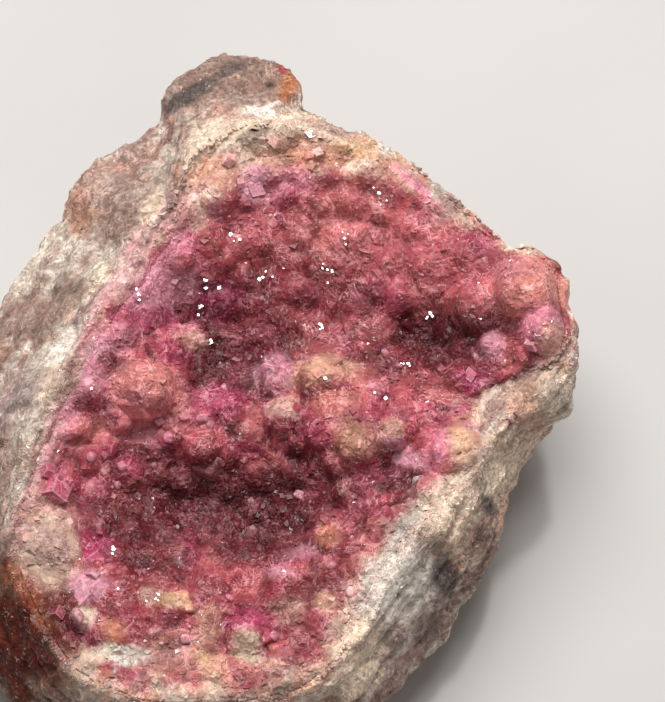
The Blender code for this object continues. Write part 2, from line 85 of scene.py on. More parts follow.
# Widest outline of the rock, anticlockwise from +X: x, y, and the height at which it is widest there.
OUTLINE = [
    (27.5, -0.4, 15.0), (28.2, 1.6, 17.0), (28.3, 5.0, 18.0), (27.3, 8.2, 18.0), (27.6, 9.3, 18.0),
    (27.0, 11.0, 19.0), (25.6, 12.0, 20.0), (23.6, 12.8, 20.0), (22.3, 12.7, 19.0), (20.7, 14.2, 19.0),
    (18.9, 16.2, 19.0), (15.3, 19.7, 18.0), (12.6, 22.2, 18.0), (11.2, 23.0, 18.0), (7.7, 24.7, 17.0),
    (3.9, 28.2, 14.0), (3.6, 30.3, 13.0), (2.3, 32.5, 12.5), (0.4, 33.9, 12.0), (-1.8, 33.9, 12.0),
    (-5.0, 33.8, 12.0), (-6.8, 33.1, 12.0), (-8.7, 31.5, 12.0), (-9.0, 29.9, 12.0), (-9.0, 27.7, 12.0),
    (-10.8, 25.8, 12.0), (-14.4, 24.0, 12.0), (-16.2, 22.7, 12.0), (-17.8, 21.0, 11.0), (-18.2, 19.0, 10.0),
    (-20.2, 16.2, 9.5), (-22.0, 13.5, 9.0), (-23.4, 11.2, 9.0), (-25.0, 6.8, 9.0), (-26.6, 1.9, 9.0),
    (-28.7, -5.6, 9.0), (-28.9, -13.1, 9.0), (-26.6, -20.7, 9.0), (-23.2, -27.1, 9.0), (-17.5, -31.8, 8.5),
    (-10.0, -33.8, 8.0), (-2.0, -33.7, 7.5), (5.0, -31.9, 6.5), (9.5, -29.3, 5.5), (12.2, -26.1, 5.0),
    (14.2, -23.4, 4.0), (15.3, -22.0, 4.0), (17.5, -19.6, 5.0), (18.7, -17.6, 5.0), (19.8, -16.2, 6.0),
    (20.7, -13.8, 6.0), (22.0, -11.4, 7.0), (22.1, -8.8, 8.0), (22.5, -5.9, 9.0), (24.1, -3.5, 11.0),
    (25.6, -2.0, 13.0),
]

# Crest of the broken rim round the vug: x, y, height.
CREST = [
    (26.0, 2.3, 19.3), (26.0, 5.9, 20.4), (24.5, 9.9, 20.8), (21.0, 12.4, 19.2), (17.0, 16.2, 18.3),
    (13.0, 19.9, 18.6), (9.0, 21.7, 19.3), (4.0, 23.4, 20.5), (-2.0, 23.9, 21.0), (-6.0, 21.4, 21.0),
    (-8.0, 16.9, 20.4), (-11.5, 10.9, 19.7), (-15.6, 4.4, 19.4), (-19.0, -1.6, 20.0), (-21.2, -7.6, 19.2),
    (-22.0, -14.1, 17.8), (-21.0, -20.6, 17.9), (-17.0, -26.1, 18.7), (-10.0, -28.6, 17.6),
    (-3.0, -28.6, 16.9), (4.0, -27.1, 17.3), (9.0, -23.1, 18.4), (11.5, -18.1, 19.2), (14.0, -13.6, 19.8),
    (17.5, -9.6, 19.2), (20.5, -5.1, 18.5), (23.5, -1.1, 18.6),
]

# Limit of the crystal crust on the rock: x, y.
CRUST_LIMIT = [
    (27.3, 4.9), (26.4, 2.3), (21.6, 0.9), (18.6, -0.6), (19.0, -2.6), (20.6, -5.4), (19.2, -8.2),
    (15.3, -11.1), (12.2, -14.4), (10.3, -17.5), (8.1, -21.3), (6.7, -25.0), (3.6, -27.4), (-3.0, -28.6),
    (-10.0, -28.6), (-16.0, -26.1), (-19.4, -20.6), (-21.1, -16.6), (-21.6, -13.0), (-20.2, -9.2),
    (-18.4, -4.5), (-16.2, 0.1), (-13.5, 5.5), (-10.3, 9.8), (-7.9, 13.6), (-6.3, 17.8), (-4.0, 21.6),
    (-0.4, 24.6), (3.6, 25.4), (7.6, 23.8), (11.2, 22.2), (15.0, 18.8), (18.6, 15.5), (20.4, 13.5),
    (22.3, 12.1), (25.2, 11.3), (26.6, 9.2), (26.8, 7.4),
]

# How steeply the outer slope leaves the crest, by direction in degrees: 1 is even, less falls at once.
SLOPE_POWER = [(0, 1.3), (60, 1.0), (83, 0.55), (106, 0.6), (125, 0.9), (180, 1.0), (270, 1.2), (330, 1.6)]

# Share of the way to the crust's limit from which its colour fades to cream, by direction in degrees.
PALE_FROM = [
    (0, 1.02), (34, 0.99), (44, 0.93), (60, 0.88), (75, 0.8), (100, 0.77), (112, 0.86), (120, 1.0),
    (205, 1.0), (215, 0.93), (300, 0.9), (345, 0.94),
]

# Share of the way to the crust's limit at which the stone's colour takes over, by direction in degrees.
PINK_TO = [
    (0, 1.0), (10, 1.06), (34, 1.06), (44, 1.0), (100, 1.0), (114, 1.08), (126, 1.16), (142, 1.16),
    (155, 1.08), (178, 1.07), (205, 1.02), (230, 1.0), (345, 0.98),
]

# Share of the outline that the resting face reaches, by direction in degrees.
BASE_SHARE = [(0, 0.86), (45, 0.84), (92, 0.8), (135, 0.9), (180, 0.9), (235, 0.88), (300, 0.9), (335, 0.9)]

# Flat breaks across the walls: heading and elevation of the way each one faces, distance from the middle.
BREAKS = [
    (8, -26, 23.4), (42, -34, 21.6), (70, -20, 28.4), (97, -40, 25.6), (128, -28, 24.2), (158, -40, 20.8),
    (186, -20, 27.3), (208, -38, 25.8), (232, -18, 32.0), (258, -44, 25.6), (284, -26, 28.4),
    (312, -36, 22.8), (338, -26, 21.8), (92, 24, 32.0), (176, 34, 22.4), (215, 30, 28.4),
]

# Swells and pockets of the face: x, y, height, half-width along x, half-width along y.
SWELLS = [
    (6.8, -1.1, 4.4, 6.0, 4.2), (8.5, -4.9, 2.2, 3.4, 3.0), (-10.5, 0.6, 3.0, 4.5, 3.2),
    (-4.6, -3.2, 2.4, 3.0, 2.6), (19.4, 7.6, 1.2, 3.0, 2.6), (15.0, 6.2, -2.6, 3.4, 2.8),
    (12.8, -7.6, -1.8, 2.6, 2.2), (-1.0, -10.4, -2.8, 6.0, 3.6), (-8.4, -9.0, -1.6, 3.6, 3.0),
    (-4.5, 8.6, -1.2, 5.0, 3.0), (-9.0, -20.6, 2.2, 8.0, 4.0), (2.4, -18.6, 1.8, 5.0, 3.6),
]

# Rounded lumps of the crust: x, y, rise above the crust, radius.
LUMPS = [
    (24.0, 8.9, 1.7, 3.5), (19.6, 7.5, 1.5, 2.5), (20.7, 4.2, 1.1, 1.3), (25.1, 4.9, 1.3, 2.2),
    (24.0, 2.9, 0.9, 1.4), (19.2, 12.6, 0.8, 2.0), (23.4, 11.2, 0.9, 1.0), (5.8, 1.0, 1.8, 2.5),
    (1.3, 1.6, 1.3, 1.4), (2.0, -2.3, 1.6, 1.6), (3.4, -4.4, 0.9, 0.9), (8.7, -5.2, 1.2, 2.0),
    (11.8, -4.0, 1.2, 1.5), (10.3, -0.2, 0.9, 1.0), (14.3, 1.0, 1.2, 1.7), (12.0, 3.9, 0.9, 1.4),
    (17.5, -6.0, 2.2, 2.4), (12.8, -7.4, 1.0, 1.5), (-10.1, 0.2, 1.5, 2.6), (-5.1, -4.5, 1.4, 1.8),
    (-3.2, -1.1, 1.4, 2.1), (-12.6, -2.3, 1.0, 1.5), (-8.0, -3.6, 0.8, 1.2), (-4.5, -17.8, 1.2, 2.2),
    (-1.8, -16.4, 0.9, 1.4), (1.7, -17.5, 1.3, 1.4), (4.4, -15.6, 1.2, 1.3), (6.6, -13.8, 1.2, 1.4),
    (-1.2, -22.7, 1.6, 1.9), (-1.0, -25.6, 0.9, 1.6), (-15.9, -21.8, 1.0, 1.0), (-18.2, -14.6, 1.2, 2.8),
    (-7.8, -20.4, 1.1, 1.5), (-13.2, -23.2, 1.0, 1.5), (-3.5, 9.0, 1.0, 1.8), (11.0, -12.4, 1.1, 1.8),
    (9.2, -16.4, 0.9, 1.5), (15.2, -9.6, 0.9, 1.7), (-4.0, 18.6, 1.0, 2.3), (18.0, 1.6, 1.2, 1.6),
]

# Single crystals that stand out of the crust: x, y, edge, tilt, heading and spin in degrees, and kind.
CRYSTALS = [
    (-15.3, -18.9, 3.2, 38, 300, 12, "lilac"), (-14.8, -14.9, 2.9, 30, 20, 40, "magenta"),
    (-18.0, -9.3, 2.4, 42, 200, 75, "magenta"), (-18.7, -7.8, 1.1, 30, 160, 20, "magenta"),
    (-12.4, -25.4, 2.2, 20, 80, 5, "clear"), (-10.6, -24.6, 2.0, 28, 40, 50, "clear"),
    (-0.5, 18.6, 1.7, 35, 250, 65, "lilac"), (3.4, 18.7, 1.6, 30, 310, 30, "lilac"),
    (-4.2, 16.2, 1.6, 40, 210, 10, "lilac"), (-2.8, 20.8, 1.2, 34, 130, 45, "lilac"),
    (1.5, 22.4, 1.2, 25, 60, 25, "lilac"), (-3.5, 9.4, 1.8, 22, 90, 55, "magenta"),
    (12.6, -8.0, 1.6, 38, 320, 15, "lilac"), (14.4, -9.0, 2.0, 30, 280, 40, "clear"),
    (24.2, 3.4, 1.2, 28, 330, 35, "lilac"), (18.6, 1.4, 1.4, 30, 200, 60, "magenta"),
    (5.4, 20.4, 2.3, 30, 340, 15, "clear"), (-17.6, -21.0, 1.2, 35, 230, 30, "magenta"),
    (-18.2, -13.7, 2.6, 30, 200, 25, "clear"),
]

# Places where a little group of crystals catches the light: x, y.
GLINTS = [
    (-2.4, 14.5), (-4.6, 10.6), (-5.3, 8.6), (-11.1, 8.7), (0.4, 11.4), (5.7, 12.2), (6.5, 11.5),
    (5.2, 6.6), (10.8, 18.2), (7.6, 14.8), (14.8, 7.7), (13.3, 2.7), (10.9, -0.9), (-13.0, -14.4),
    (-9.1, -19.6),
]

# Small round crystals, pale and almost clear: x, y, size.
BEADS = [
    (-9.0, -2.3, 0.9), (-7.9, -2.4, 0.6), (-6.7, -2.2, 0.9), (-5.0, -2.4, 1.1), (-4.4, -2.9, 0.7),
    (-8.1, -3.9, 0.9), (-14.9, -6.2, 0.8), (-12.2, -6.6, 0.9), (-12.6, -8.1, 0.7), (-9.4, -6.0, 0.6),
    (3.6, -8.6, 0.9), (-15.8, -21.6, 1.1), (-3.2, 0.9, 0.8), (11.2, 4.0, 0.8), (12.4, 2.6, 0.7),
    (6.4, -16.2, 0.8), (8.2, -18.9, 0.9), (-2.6, -19.2, 0.8), (-6.4, -23.0, 0.9), (1.4, -22.6, 0.8),
]

# The face and the rock's relief.
FLOOR_Z = 13.0  # bottom of the smooth dish, before the swells
DISH_POWER = 2.2  # how late the dish rises towards the crest
CREST_ROUNDING = 0.9  # width over which dish and slope run into each other
ROCK_RELIEF = 1.1  # strength of the lumps, and spacing and depth of the ledges
LEDGE_RISE = 2.6
LEDGE_DEPTH = 0.7
WALL_POWER = 2.2  # how late the walls draw in on their way down
RELIEF_CENTRE_Z = 9.0
FOOT_FADE = 3.0  # height above the resting face at which the relief is full
RELIEF_RUN = 5.0  # distance from the crust's limit over which the relief grows
SLOPE_RELIEF = 0.7
BEDDING = (-0.55, -0.835)  # level direction in which the stone's streaks run
STREAK_LENGTH = 3.0  # how much longer than wide they are

# The crust and its seat in the rock.
EDGE_RECESS = 0.5  # depth of the rock's seat at the crust's limit
INNER_RECESS = 2.4
SEAT_GAP = 0.3  # how far the crust's underside stays above the seat
EDGE_STAND = 0.04  # how far the crust stands above the face at its limit and inside
INNER_STAND = 0.4
SEAT_RAMP = 0.12  # share of the limit over which the seat deepens
LUMP_ROUNDING = 0.7  # width over which a lump runs into the crust

# Lumps scattered between the named ones.
SCATTER_REACH_X = 32
SCATTER_REACH_Y = 36
SCATTER_SHIFT = 0.28  # how far a point may leave its place in the grid, as a share of the pitch
ROW_PITCH = 0.87  # distance between the grid's rows, as a share of the pitch
SCATTER_PITCH = 3.1
SCATTER_RADIUS = (1.5, 2.2)
SCATTER_RISE = (0.4, 1.0)

# Crystals: ranges of edge lengths, and how they are set, as shares of their edges.
RHOMB_FLATTENING = 0.7  # a cube pressed this much along a diagonal has calcite's 102 degree corners
CRYSTAL_PITCH = 5.0  # spacing of the small single crystals between the named ones
CRYSTAL_EDGE = (1.5, 2.3)
CRYSTAL_TILT = (10, 50)  # degrees
ROOT_CLEARANCE = 0.45  # how far the lowest corner stays above the seat
NAMED_SHARE = 0.72  # edge of a named crystal, as a share of the one in its row
NAMED_SINK = {"magenta": 0.46, "lilac": 0.46, "clear": 0.7}  # how far crystals are sunk in the crust
MILKY_SINK = 0.68
BEAD_STAND = 0.1  # how far a bead's middle stands above the crust
LARGE_EDGES = (0.4, 0.75)
MIDDLE_EDGES = (0.25, 0.45)
SMALL_EDGES = (0.16, 0.3)
RIM_PITCH = 1.5
RIM_EDGES = (0.35, 0.75)
BORDER_EDGES = (0.12, 0.28)
BAND_EDGES = (0.3, 0.7)
BAND_HEADING = 95  # the pale band on the crest: the middle of its directions, and half their spread
BAND_SPREAD = 32
GLINT_COUNT = 4  # crystals in each glinting group, and how they are spread and sized
GLINT_SPREAD = 0.32
GLINT_EDGES = (0.1, 0.3)
GLINT_STAND = 0.15
WORN_EDGE = 0.28  # widths of the bevels of clear and of milky crystals
ROUNDED_EDGE = 0.35
BEVEL_SEGMENTS = 3
SHORT_STEP = 0.2  # steps over which a surface's slope is measured
WIDE_STEP = 0.35

# Colouring.
PATCH_HEIGHT = 2.5  # a colour patch's half-height, as a multiple of its larger half-width
TALLEST_PATCH = 11.5  # the most that a patch's half-height comes to, so that it fades down the walls
FRECKLING = 0.25
CRYSTAL_STRIAE = (1.7, 0.3)  # size of the parts that share a direction of growth lines, and of the lines
ROCK_STRIAE = (2.6, 0.36)
CELL_TURN = 6.3  # the most that growth lines turn about each axis, in radians
LINE_PRESSING = (1.0, 0.14, 0.14)
# The third value is the strength of the painted highlight along the named crystals' edges.
NAMED_LOOK = (0.7, 0.7, 0.42)  # share lit as facets, where a face's pale edge begins, and how pale it is
NAMED_TINT = 0.4  # how far a named crystal, and a bead, is of its own colour and not the crust's
BEAD_TINT = 0.6
# Colour of the pale strands and of the painted edge highlights.
STRAND_COLOUR = (240, 188, 194)
ROCK_LINE_COLOUR = (0.85, 0.78, 0.68, 1)
CLEAR_LINE_COLOUR = (0.93, 0.9, 0.88, 1)
CLEAR_COLOUR = (0.96, 0.86, 0.84)
CLEAR_SOAK = (0.98, 0.94, 0.93)  # colour that light keeps on its way through
CLEARNESS = 0.45

DIRECTIONS = np.arange(0, 360, 0.5)  # the directions in degrees for which each ring table has a value

# Natural colours of the stone and the crystals, as display red, green and blue from 0 to 255.
PALETTE = {
    "raspberry": (152, 56, 70), "maroon": (86, 20, 27), "pocket": (58, 14, 20), "plum": (112, 26, 58),
    "cherry": (140, 44, 54), "rose": (187, 88, 95), "salmon": (204, 118, 112), "pink": (226, 134, 154),
    "magenta": (168, 52, 92), "lilac": (216, 150, 168), "peach": (226, 172, 144),
    "orange": (214, 138, 106), "tan": (202, 158, 136), "ochre": (228, 184, 142), "olive": (182, 136, 104),
    "cream": (236, 210, 186), "white": (240, 228, 216), "bone": (222, 208, 190), "dusky": (180, 146, 134),
    "greybrown": (140, 112, 100), "greylilac": (170, 148, 142), "stain": (78, 68, 66),
    "black": (30, 26, 26), "rust": (168, 102, 62), "umber": (90, 30, 14), "coral": (226, 140, 132),
}

# Patches of colour on the crust: x, y, half-width along x and y, turn in degrees, colour and strength.
CRUST_PATCHES = [
    (-5.0, -19.6, 13.0, 4.2, 0, "cherry", 0.55), (2.0, 10.0, 9.0, 3.0, 0, "cherry", 0.35),
    # The patches at (17.0, 6.0), (17.6, 2.8) and (13.6, 3.6) darken the hollow under the right rim: partly
    # its deep colour, partly painted shade.
    (17.0, 6.0, 2.8, 1.8, -20, "pocket", 0.75), (17.6, 2.8, 3.4, 2.2, -20, "maroon", 0.7),
    (13.6, 3.6, 2.4, 1.8, 0, "maroon", 0.5), (4.6, -8.2, 3.6, 3.0, 0, "maroon", 0.7),
    (-1.2, -9.8, 6.0, 3.2, 0, "maroon", 0.95), (-11.2, -11.6, 4.2, 3.8, 0, "maroon", 0.92),
    (12.5, -7.6, 2.0, 2.4, 0, "pocket", 0.7), (-8.0, -8.5, 3.1, 2.3, 0, "maroon", 0.7),
    (-4.5, 8.7, 2.3, 1.5, 0, "plum", 0.6), (-1.8, 15.2, 4.2, 2.8, 0, "rose", 0.85),
    (-9.4, 9.6, 3.4, 2.2, 40, "lilac", 0.6), (-12.8, 4.4, 2.4, 1.5, 30, "lilac", 0.4),
    (-14.9, 0.6, 1.5, 1.1, 0, "lilac", 0.6), (-7.4, 13.4, 1.8, 1.4, 40, "pink", 0.5),
    (-6.2, 5.6, 1.6, 0.8, -20, "tan", 0.6), (-8.6, 6.8, 2.4, 1.2, 0, "magenta", 0.6),
    (16.2, 11.6, 4.0, 3.0, -35, "salmon", 0.35), (10.6, 14.2, 3.4, 2.4, -30, "salmon", 0.4),
    (1.2, -14.0, 4.4, 1.6, 0, "maroon", 0.75), (5.4, -18.6, 2.8, 2.0, 0, "maroon", 0.8),
    (-8.6, -16.2, 3.6, 1.6, 0, "maroon", 0.6), (-11.0, -20.0, 2.4, 1.4, 0, "cherry", 0.8),
    (2.6, -20.4, 1.6, 1.2, 0, "tan", 0.5), (-4.2, -21.6, 1.3, 1.6, 0, "olive", 0.6),
    (-3.6, -25.6, 1.5, 1.6, 0, "ochre", 0.5), (3.4, -25.2, 1.5, 1.4, 0, "maroon", 0.5),
    (7.2, 16.6, 4.4, 3.2, 0, "salmon", 0.6), (-13.7, 2.7, 1.8, 0.9, -30, "maroon", 0.9),
    # The maroon patch at (7.2, 9.5) is painted shadow between the lumps.
    (7.2, 9.5, 4.0, 1.5, 0, "maroon", 0.4), (0.2, 18.9, 2.4, 1.6, 0, "pink", 0.6),
    (-0.5, 19.2, 1.1, 1.3, 0, "lilac", 0.8), (3.5, 19.3, 1.3, 0.9, -30, "pink", 0.8),
    (-4.0, 16.9, 0.9, 0.8, 0, "lilac", 0.7), (-3.5, 9.6, 2.0, 1.3, 0, "plum", 0.8),
    (14.4, 14.3, 7.2, 4.7, -35, "rose", 0.6), (19.2, 13.5, 1.8, 1.3, -40, "magenta", 0.5),
    (13.9, 19.0, 2.3, 0.5, -42, "pink", 0.9), (24.1, 8.9, 3.4, 2.8, 0, "coral", 1.0),
    (22.4, 9.8, 2.0, 1.4, 0, "pink", 0.4), (19.5, 8.0, 2.2, 1.6, 0, "rose", 0.5),
    # The maroon patches at (14.8, 5.8) and (21.6, 5.4) are partly painted shade in the same hollow under
    # the right rim.
    (14.8, 5.8, 5.0, 4.4, 0, "maroon", 0.4), (21.6, 5.4, 1.6, 0.8, -30, "maroon", 0.7),
    (20.7, 3.8, 1.1, 1.1, 0, "lilac", 0.7), (25.4, 5.3, 2.0, 1.7, 0, "pink", 0.9),
    (26.3, 3.5, 1.4, 1.9, 0, "peach", 0.6), (18.8, 0.8, 1.8, 1.0, -15, "magenta", 0.8),
    (18.4, -5.0, 2.6, 2.4, 0, "peach", 0.8), (16.0, -5.6, 1.1, 2.1, 0, "pink", 1.0),
    (18.0, -5.4, 1.3, 1.6, 0, "ochre", 0.7), (19.2, -3.7, 1.4, 0.6, -30, "pink", 0.7),
    (12.7, -5.7, 2.3, 0.8, -35, "lilac", 0.7), (5.7, 2.0, 2.7, 1.7, 0, "peach", 0.8),
    (7.2, -1.4, 2.2, 1.3, 0, "orange", 0.5), (1.3, 2.5, 1.6, 1.9, 0, "lilac", 0.6),
    (2.0, -1.4, 1.3, 1.1, 0, "cream", 0.5), (8.5, -4.9, 2.0, 1.7, 0, "olive", 0.8),
    (14.2, 1.2, 1.3, 1.3, 0, "cherry", 0.7), (11.9, 3.9, 1.0, 0.9, 0, "cherry", 0.6),
    (11.7, -3.8, 1.1, 0.9, 0, "tan", 0.7), (10.3, 0.2, 0.9, 0.8, 0, "pink", 0.6),
    (-9.9, -0.7, 3.0, 2.6, 0, "coral", 0.8), (-10.8, -2.4, 2.4, 1.6, 0, "pink", 0.5),
    (-5.0, -3.9, 1.6, 1.5, 0, "rose", 0.8), (-3.4, -0.4, 2.2, 1.7, 0, "magenta", 0.8),
    (-11.7, -1.7, 1.4, 1.1, 0, "salmon", 0.5), (-15.9, -3.7, 2.7, 1.5, 0, "salmon", 0.6),
    (-17.8, -8.6, 0.9, 1.3, 0, "magenta", 0.9), (-14.6, -14.0, 1.6, 1.7, 0, "magenta", 0.85),
    (-15.1, -18.1, 1.6, 1.5, 0, "lilac", 0.9), (-17.6, -20.4, 1.8, 3.2, 0, "umber", 0.65),
    (-14.2, -22.8, 2.2, 1.3, 0, "plum", 0.5), (-18.5, -14.8, 2.7, 3.1, 0, "cream", 0.7),
    (-18.4, -14.7, 1.7, 2.1, 0, "dusky", 0.85), (-15.3, -21.3, 0.9, 0.9, 0, "cream", 0.8),
    (-7.5, -19.8, 1.3, 0.8, 0, "ochre", 0.9), (-12.6, -22.6, 1.2, 1.3, 0, "orange", 0.8),
    (-11.7, -24.6, 2.2, 0.8, 0, "white", 0.95), (-4.2, -16.7, 1.8, 1.5, 0, "rose", 0.7),
    (1.8, -16.8, 1.3, 1.1, 0, "lilac", 0.6), (4.1, -14.7, 1.3, 0.9, 0, "lilac", 0.5),
    (6.3, -13.0, 1.1, 1.3, 0, "orange", 0.7), (-1.0, -21.4, 2.2, 1.2, 0, "magenta", 0.9),
    (-1.0, -24.2, 1.3, 1.7, 0, "cream", 0.8), (-6.9, -24.3, 3.6, 2.1, 0, "tan", 0.5),
    (4.5, -22.9, 1.8, 2.3, 0, "cherry", 0.5), (-9.6, -19.4, 0.9, 0.9, 0, "tan", 0.7),
    (-5.0, -24.6, 0.8, 1.0, 20, "ochre", 0.7), (1.4, -25.4, 1.2, 0.8, -20, "tan", 0.7),
    (6.0, -19.8, 1.0, 1.2, 30, "peach", 0.7), (-13.6, -24.6, 1.2, 0.7, 30, "cream", 0.7),
]

# Patches of colour on the rim and the rock's slope, likewise.
ROCK_PATCHES = [
    (-3.8, 23.8, 2.8, 1.8, 40, "cream", 0.9), (0.4, 23.4, 2.8, 1.3, 0, "cream", 0.8),
    (3.2, 21.2, 2.6, 1.2, 0, "orange", 0.6), (-3.6, 19.9, 1.7, 1.3, 0, "orange", 0.55),
    (8.7, 22.6, 3.6, 1.3, -22, "ochre", 0.9), (3.6, 24.7, 5.8, 2.3, 15, "cream", 0.95),
    (-0.2, 26.6, 1.3, 0.9, 0, "white", 0.9), (10.3, 22.9, 1.4, 0.8, 30, "ochre", 0.8),
    (-4.3, 19.4, 2.3, 1.9, 0, "peach", 0.9), (2.2, 21.9, 2.9, 1.1, 15, "peach", 0.6),
    (11.2, 22.5, 0.9, 0.7, 30, "white", 0.9), (-2.1, 22.4, 0.2, 0.2, 0, "black", 1.0),
    (-1.9, 31.4, 6.8, 3.0, 0, "greybrown", 0.9), (-6.3, 29.5, 3.1, 1.0, 25, "stain", 0.9),
    (-2.7, 32.2, 1.8, 0.8, 30, "stain", 0.7), (0.8, 30.2, 0.4, 0.4, 0, "black", 0.8),
    (2.7, 30.4, 0.9, 2.4, -20, "rust", 0.85), (1.9, 32.3, 0.4, 0.5, 0, "cherry", 0.9),
    (6.3, 24.9, 2.7, 0.9, -30, "greybrown", 0.6), (-15.9, 21.0, 3.1, 2.8, 45, "dusky", 0.8),
    (-11.7, 18.2, 3.1, 3.6, 0, "greybrown", 0.7), (-16.8, 19.3, 1.3, 1.7, 0, "rust", 0.35),
    (-15.6, 17.2, 1.4, 1.2, 0, "rust", 0.4), (-6.0, 21.9, 1.0, 2.4, -10, "cream", 0.8),
    (-9.6, 17.2, 1.1, 2.4, -15, "cream", 0.7), (-14.6, 10.6, 2.4, 0.9, 45, "cream", 0.7),
    (-17.6, 4.0, 2.6, 1.2, 45, "white", 0.7), (-18.6, -0.1, 1.3, 2.0, -10, "cream", 0.5),
    (-21.2, 14.8, 4.1, 1.9, 55, "bone", 0.8), (-18.4, 8.9, 3.6, 1.7, 35, "greybrown", 0.8),
    (-21.5, -0.6, 2.3, 3.8, 0, "greylilac", 0.8), (-20.3, -5.2, 2.2, 3.2, 0, "bone", 0.35),
    (-19.0, -10.9, 2.0, 2.4, 0, "cream", 0.4), (-24.2, -8.0, 3.0, 5.0, 0, "greybrown", 0.6),
    (-21.4, -21.6, 5.0, 7.4, 0, "umber", 1.0), (-18.8, -19.8, 1.2, 2.6, 0, "rust", 0.6),
    (-21.0, -17.7, 2.4, 1.6, 0, "rust", 0.5), (24.9, -1.6, 3.2, 2.0, 20, "tan", 0.8),
    (26.7, 0.9, 1.3, 1.5, 0, "peach", 0.6), (21.6, -6.2, 3.0, 2.6, 40, "cream", 0.9),
    (17.2, -11.6, 3.4, 2.4, 50, "cream", 0.9), (12.2, -18.3, 3.8, 2.6, 50, "white", 0.85),
    (8.8, -24.2, 3.2, 3.0, 50, "cream", 0.9), (19.8, -13.2, 1.6, 2.6, -20, "greybrown", 0.7),
    (20.5, -9.6, 1.2, 0.8, 0, "stain", 0.85), (16.5, -16.1, 1.3, 1.5, 0, "stain", 0.9),
    (21.6, -13.5, 0.9, 0.8, 0, "stain", 0.7), (15.2, -19.8, 1.4, 0.9, 45, "stain", 0.5),
    (11.2, -8.7, 1.0, 0.6, 0, "umber", 0.8), (11.8, -10.7, 1.4, 0.4, 20, "umber", 0.7),
    # The bone, cream and tan patches at (27.2, -0.6), (23.6, -4.4) and (22.4, -9.2) lighten the right wall,
    # which faces away from the key light: painted light over the stone's pale colour.
    (27.2, -0.6, 2.0, 2.6, 20, "bone", 0.75), (23.6, -4.4, 2.2, 2.4, 0, "cream", 0.85),
    (22.4, -9.2, 1.6, 2.4, 0, "tan", 0.7),
]


def ring_table(directions, values):
    """A value for each of DIRECTIONS: straight lines between the given ones, with the corners smoothed."""
    order = np.argsort(directions)
    table = np.interp(DIRECTIONS, np.asarray(directions)[order], np.asarray(values)[order], period=360)
    smoothing = np.array([1, 4, 6, 4, 1]) / 16
    return np.convolve(np.concatenate([table[-2:], table, table[:2]]), smoothing, "valid")


def plan_rings(points):
    """Radius round the origin of a closed outline, and its height where the points have one."""
    columns = np.asarray(points, float).T
    directions = np.degrees(np.arctan2(columns[1], columns[0])) % 360
    rings = [ring_table(directions, np.hypot(columns[0], columns[1]))]
    return rings + [ring_table(directions, column) for column in columns[2:]]


OUTLINE_RADIUS, OUTLINE_Z = plan_rings(OUTLINE)
CREST_RADIUS, CREST_Z = plan_rings(CREST)
(LIMIT_RADIUS,) = plan_rings(CRUST_LIMIT)
SLOPE_TABLE = ring_table(*zip(*SLOPE_POWER))
BASE_TABLE = ring_table(*zip(*BASE_SHARE))
PALE_TABLE = ring_table(*zip(*PALE_FROM))
PINK_TABLE = ring_table(*zip(*PINK_TO))


def read_ring(table, direction):
    """A ring table's value in any direction in degrees, on straight lines between its own."""
    return np.interp(direction, DIRECTIONS, table, period=360)


def heading_of(x, y):
    """Direction of a plan point from the origin, in degrees from +X."""
    return np.degrees(np.arctan2(y, x)) % 360


def limit_share(x, y):
    """How far out a plan point lies, as a share of the crust's limit in its direction."""
    return np.hypot(x, y) / read_ring(LIMIT_RADIUS, heading_of(x, y))


def lattice(corner, seed):
    """A repeatable number from -1 to 1 for each whole-number corner of space."""
    x, y, z = corner
    mixed = (x * 73856093) ^ (y * 19349663) ^ (z * 83492791) ^ (seed * 15485863)
    mixed = ((mixed ^ (mixed >> 13)) * 1274126177) & 0xFFFFFFFF
    return ((mixed ^ (mixed >> 16)) & 0xFFFF) / 32767.5 - 1


def noise(points, size, seed):
    """Smooth noise from -1 to 1 with bumps of about that size: lattice numbers eased between corners."""
    scaled = np.asarray(points, float) / size + 1000
    low = np.floor(scaled).astype(np.int64)
    ease = scaled - low
    ease = ease * ease * (3 - 2 * ease)
    total = np.zeros(scaled.shape[:-1])
    for dx in (0, 1):
        for dy in (0, 1):
            for dz in (0, 1):
                corner = np.moveaxis(low + (dx, dy, dz), -1, 0)
                weight = np.prod(np.where((dx, dy, dz), ease, 1 - ease), axis=-1)
                total += weight * lattice(corner, seed)
    return total


def ridged(points, size, seed):
    """Noise folded at zero: 1 along the thin lines where it changes sign, 0 away from them."""
    return 1 - np.minimum(np.abs(noise(points, size, seed)) * 3, 1)


def smooth_step(low, high, value):
    """An even rise from 0 at one value to 1 at the other, level at both ends; low may be the larger one."""
    share = np.clip((value - low) / (high - low), 0, 1)
    return share * share * (3 - 2 * share)


def smooth_least(a, b, width):
    """The lesser of two heights, rounded over where they cross."""
    share = np.clip(0.5 + (b - a) / (2 * width), 0, 1)
    return b + (a - b) * share - width * share * (1 - share)


def face_height(x, y):
    """The specimen's smooth face: a dish inside the crest, a slope outside it, and the swells."""
    direction = heading_of(x, y)
    radius = np.hypot(x, y)
    crest, crest_z = read_ring(CREST_RADIUS, direction), read_ring(CREST_Z, direction)
    outer, outer_z = read_ring(OUTLINE_RADIUS, direction), read_ring(OUTLINE_Z, direction)
    dish = FLOOR_Z + (crest_z - FLOOR_Z) * (radius / crest) ** DISH_POWER
    outward = np.clip((radius - crest) / np.maximum(outer - crest, 1.0), -1, 1)
    fall = np.sign(outward) * np.abs(outward) ** read_ring(SLOPE_TABLE, direction)
    height = smooth_least(dish, crest_z + (outer_z - crest_z) * fall, CREST_ROUNDING)
    for swell_x, swell_y, rise, half_x, half_y in SWELLS:
        height = height + rise * np.exp(-(((x - swell_x) / half_x) ** 2) - ((y - swell_y) / half_y) ** 2)
    return height


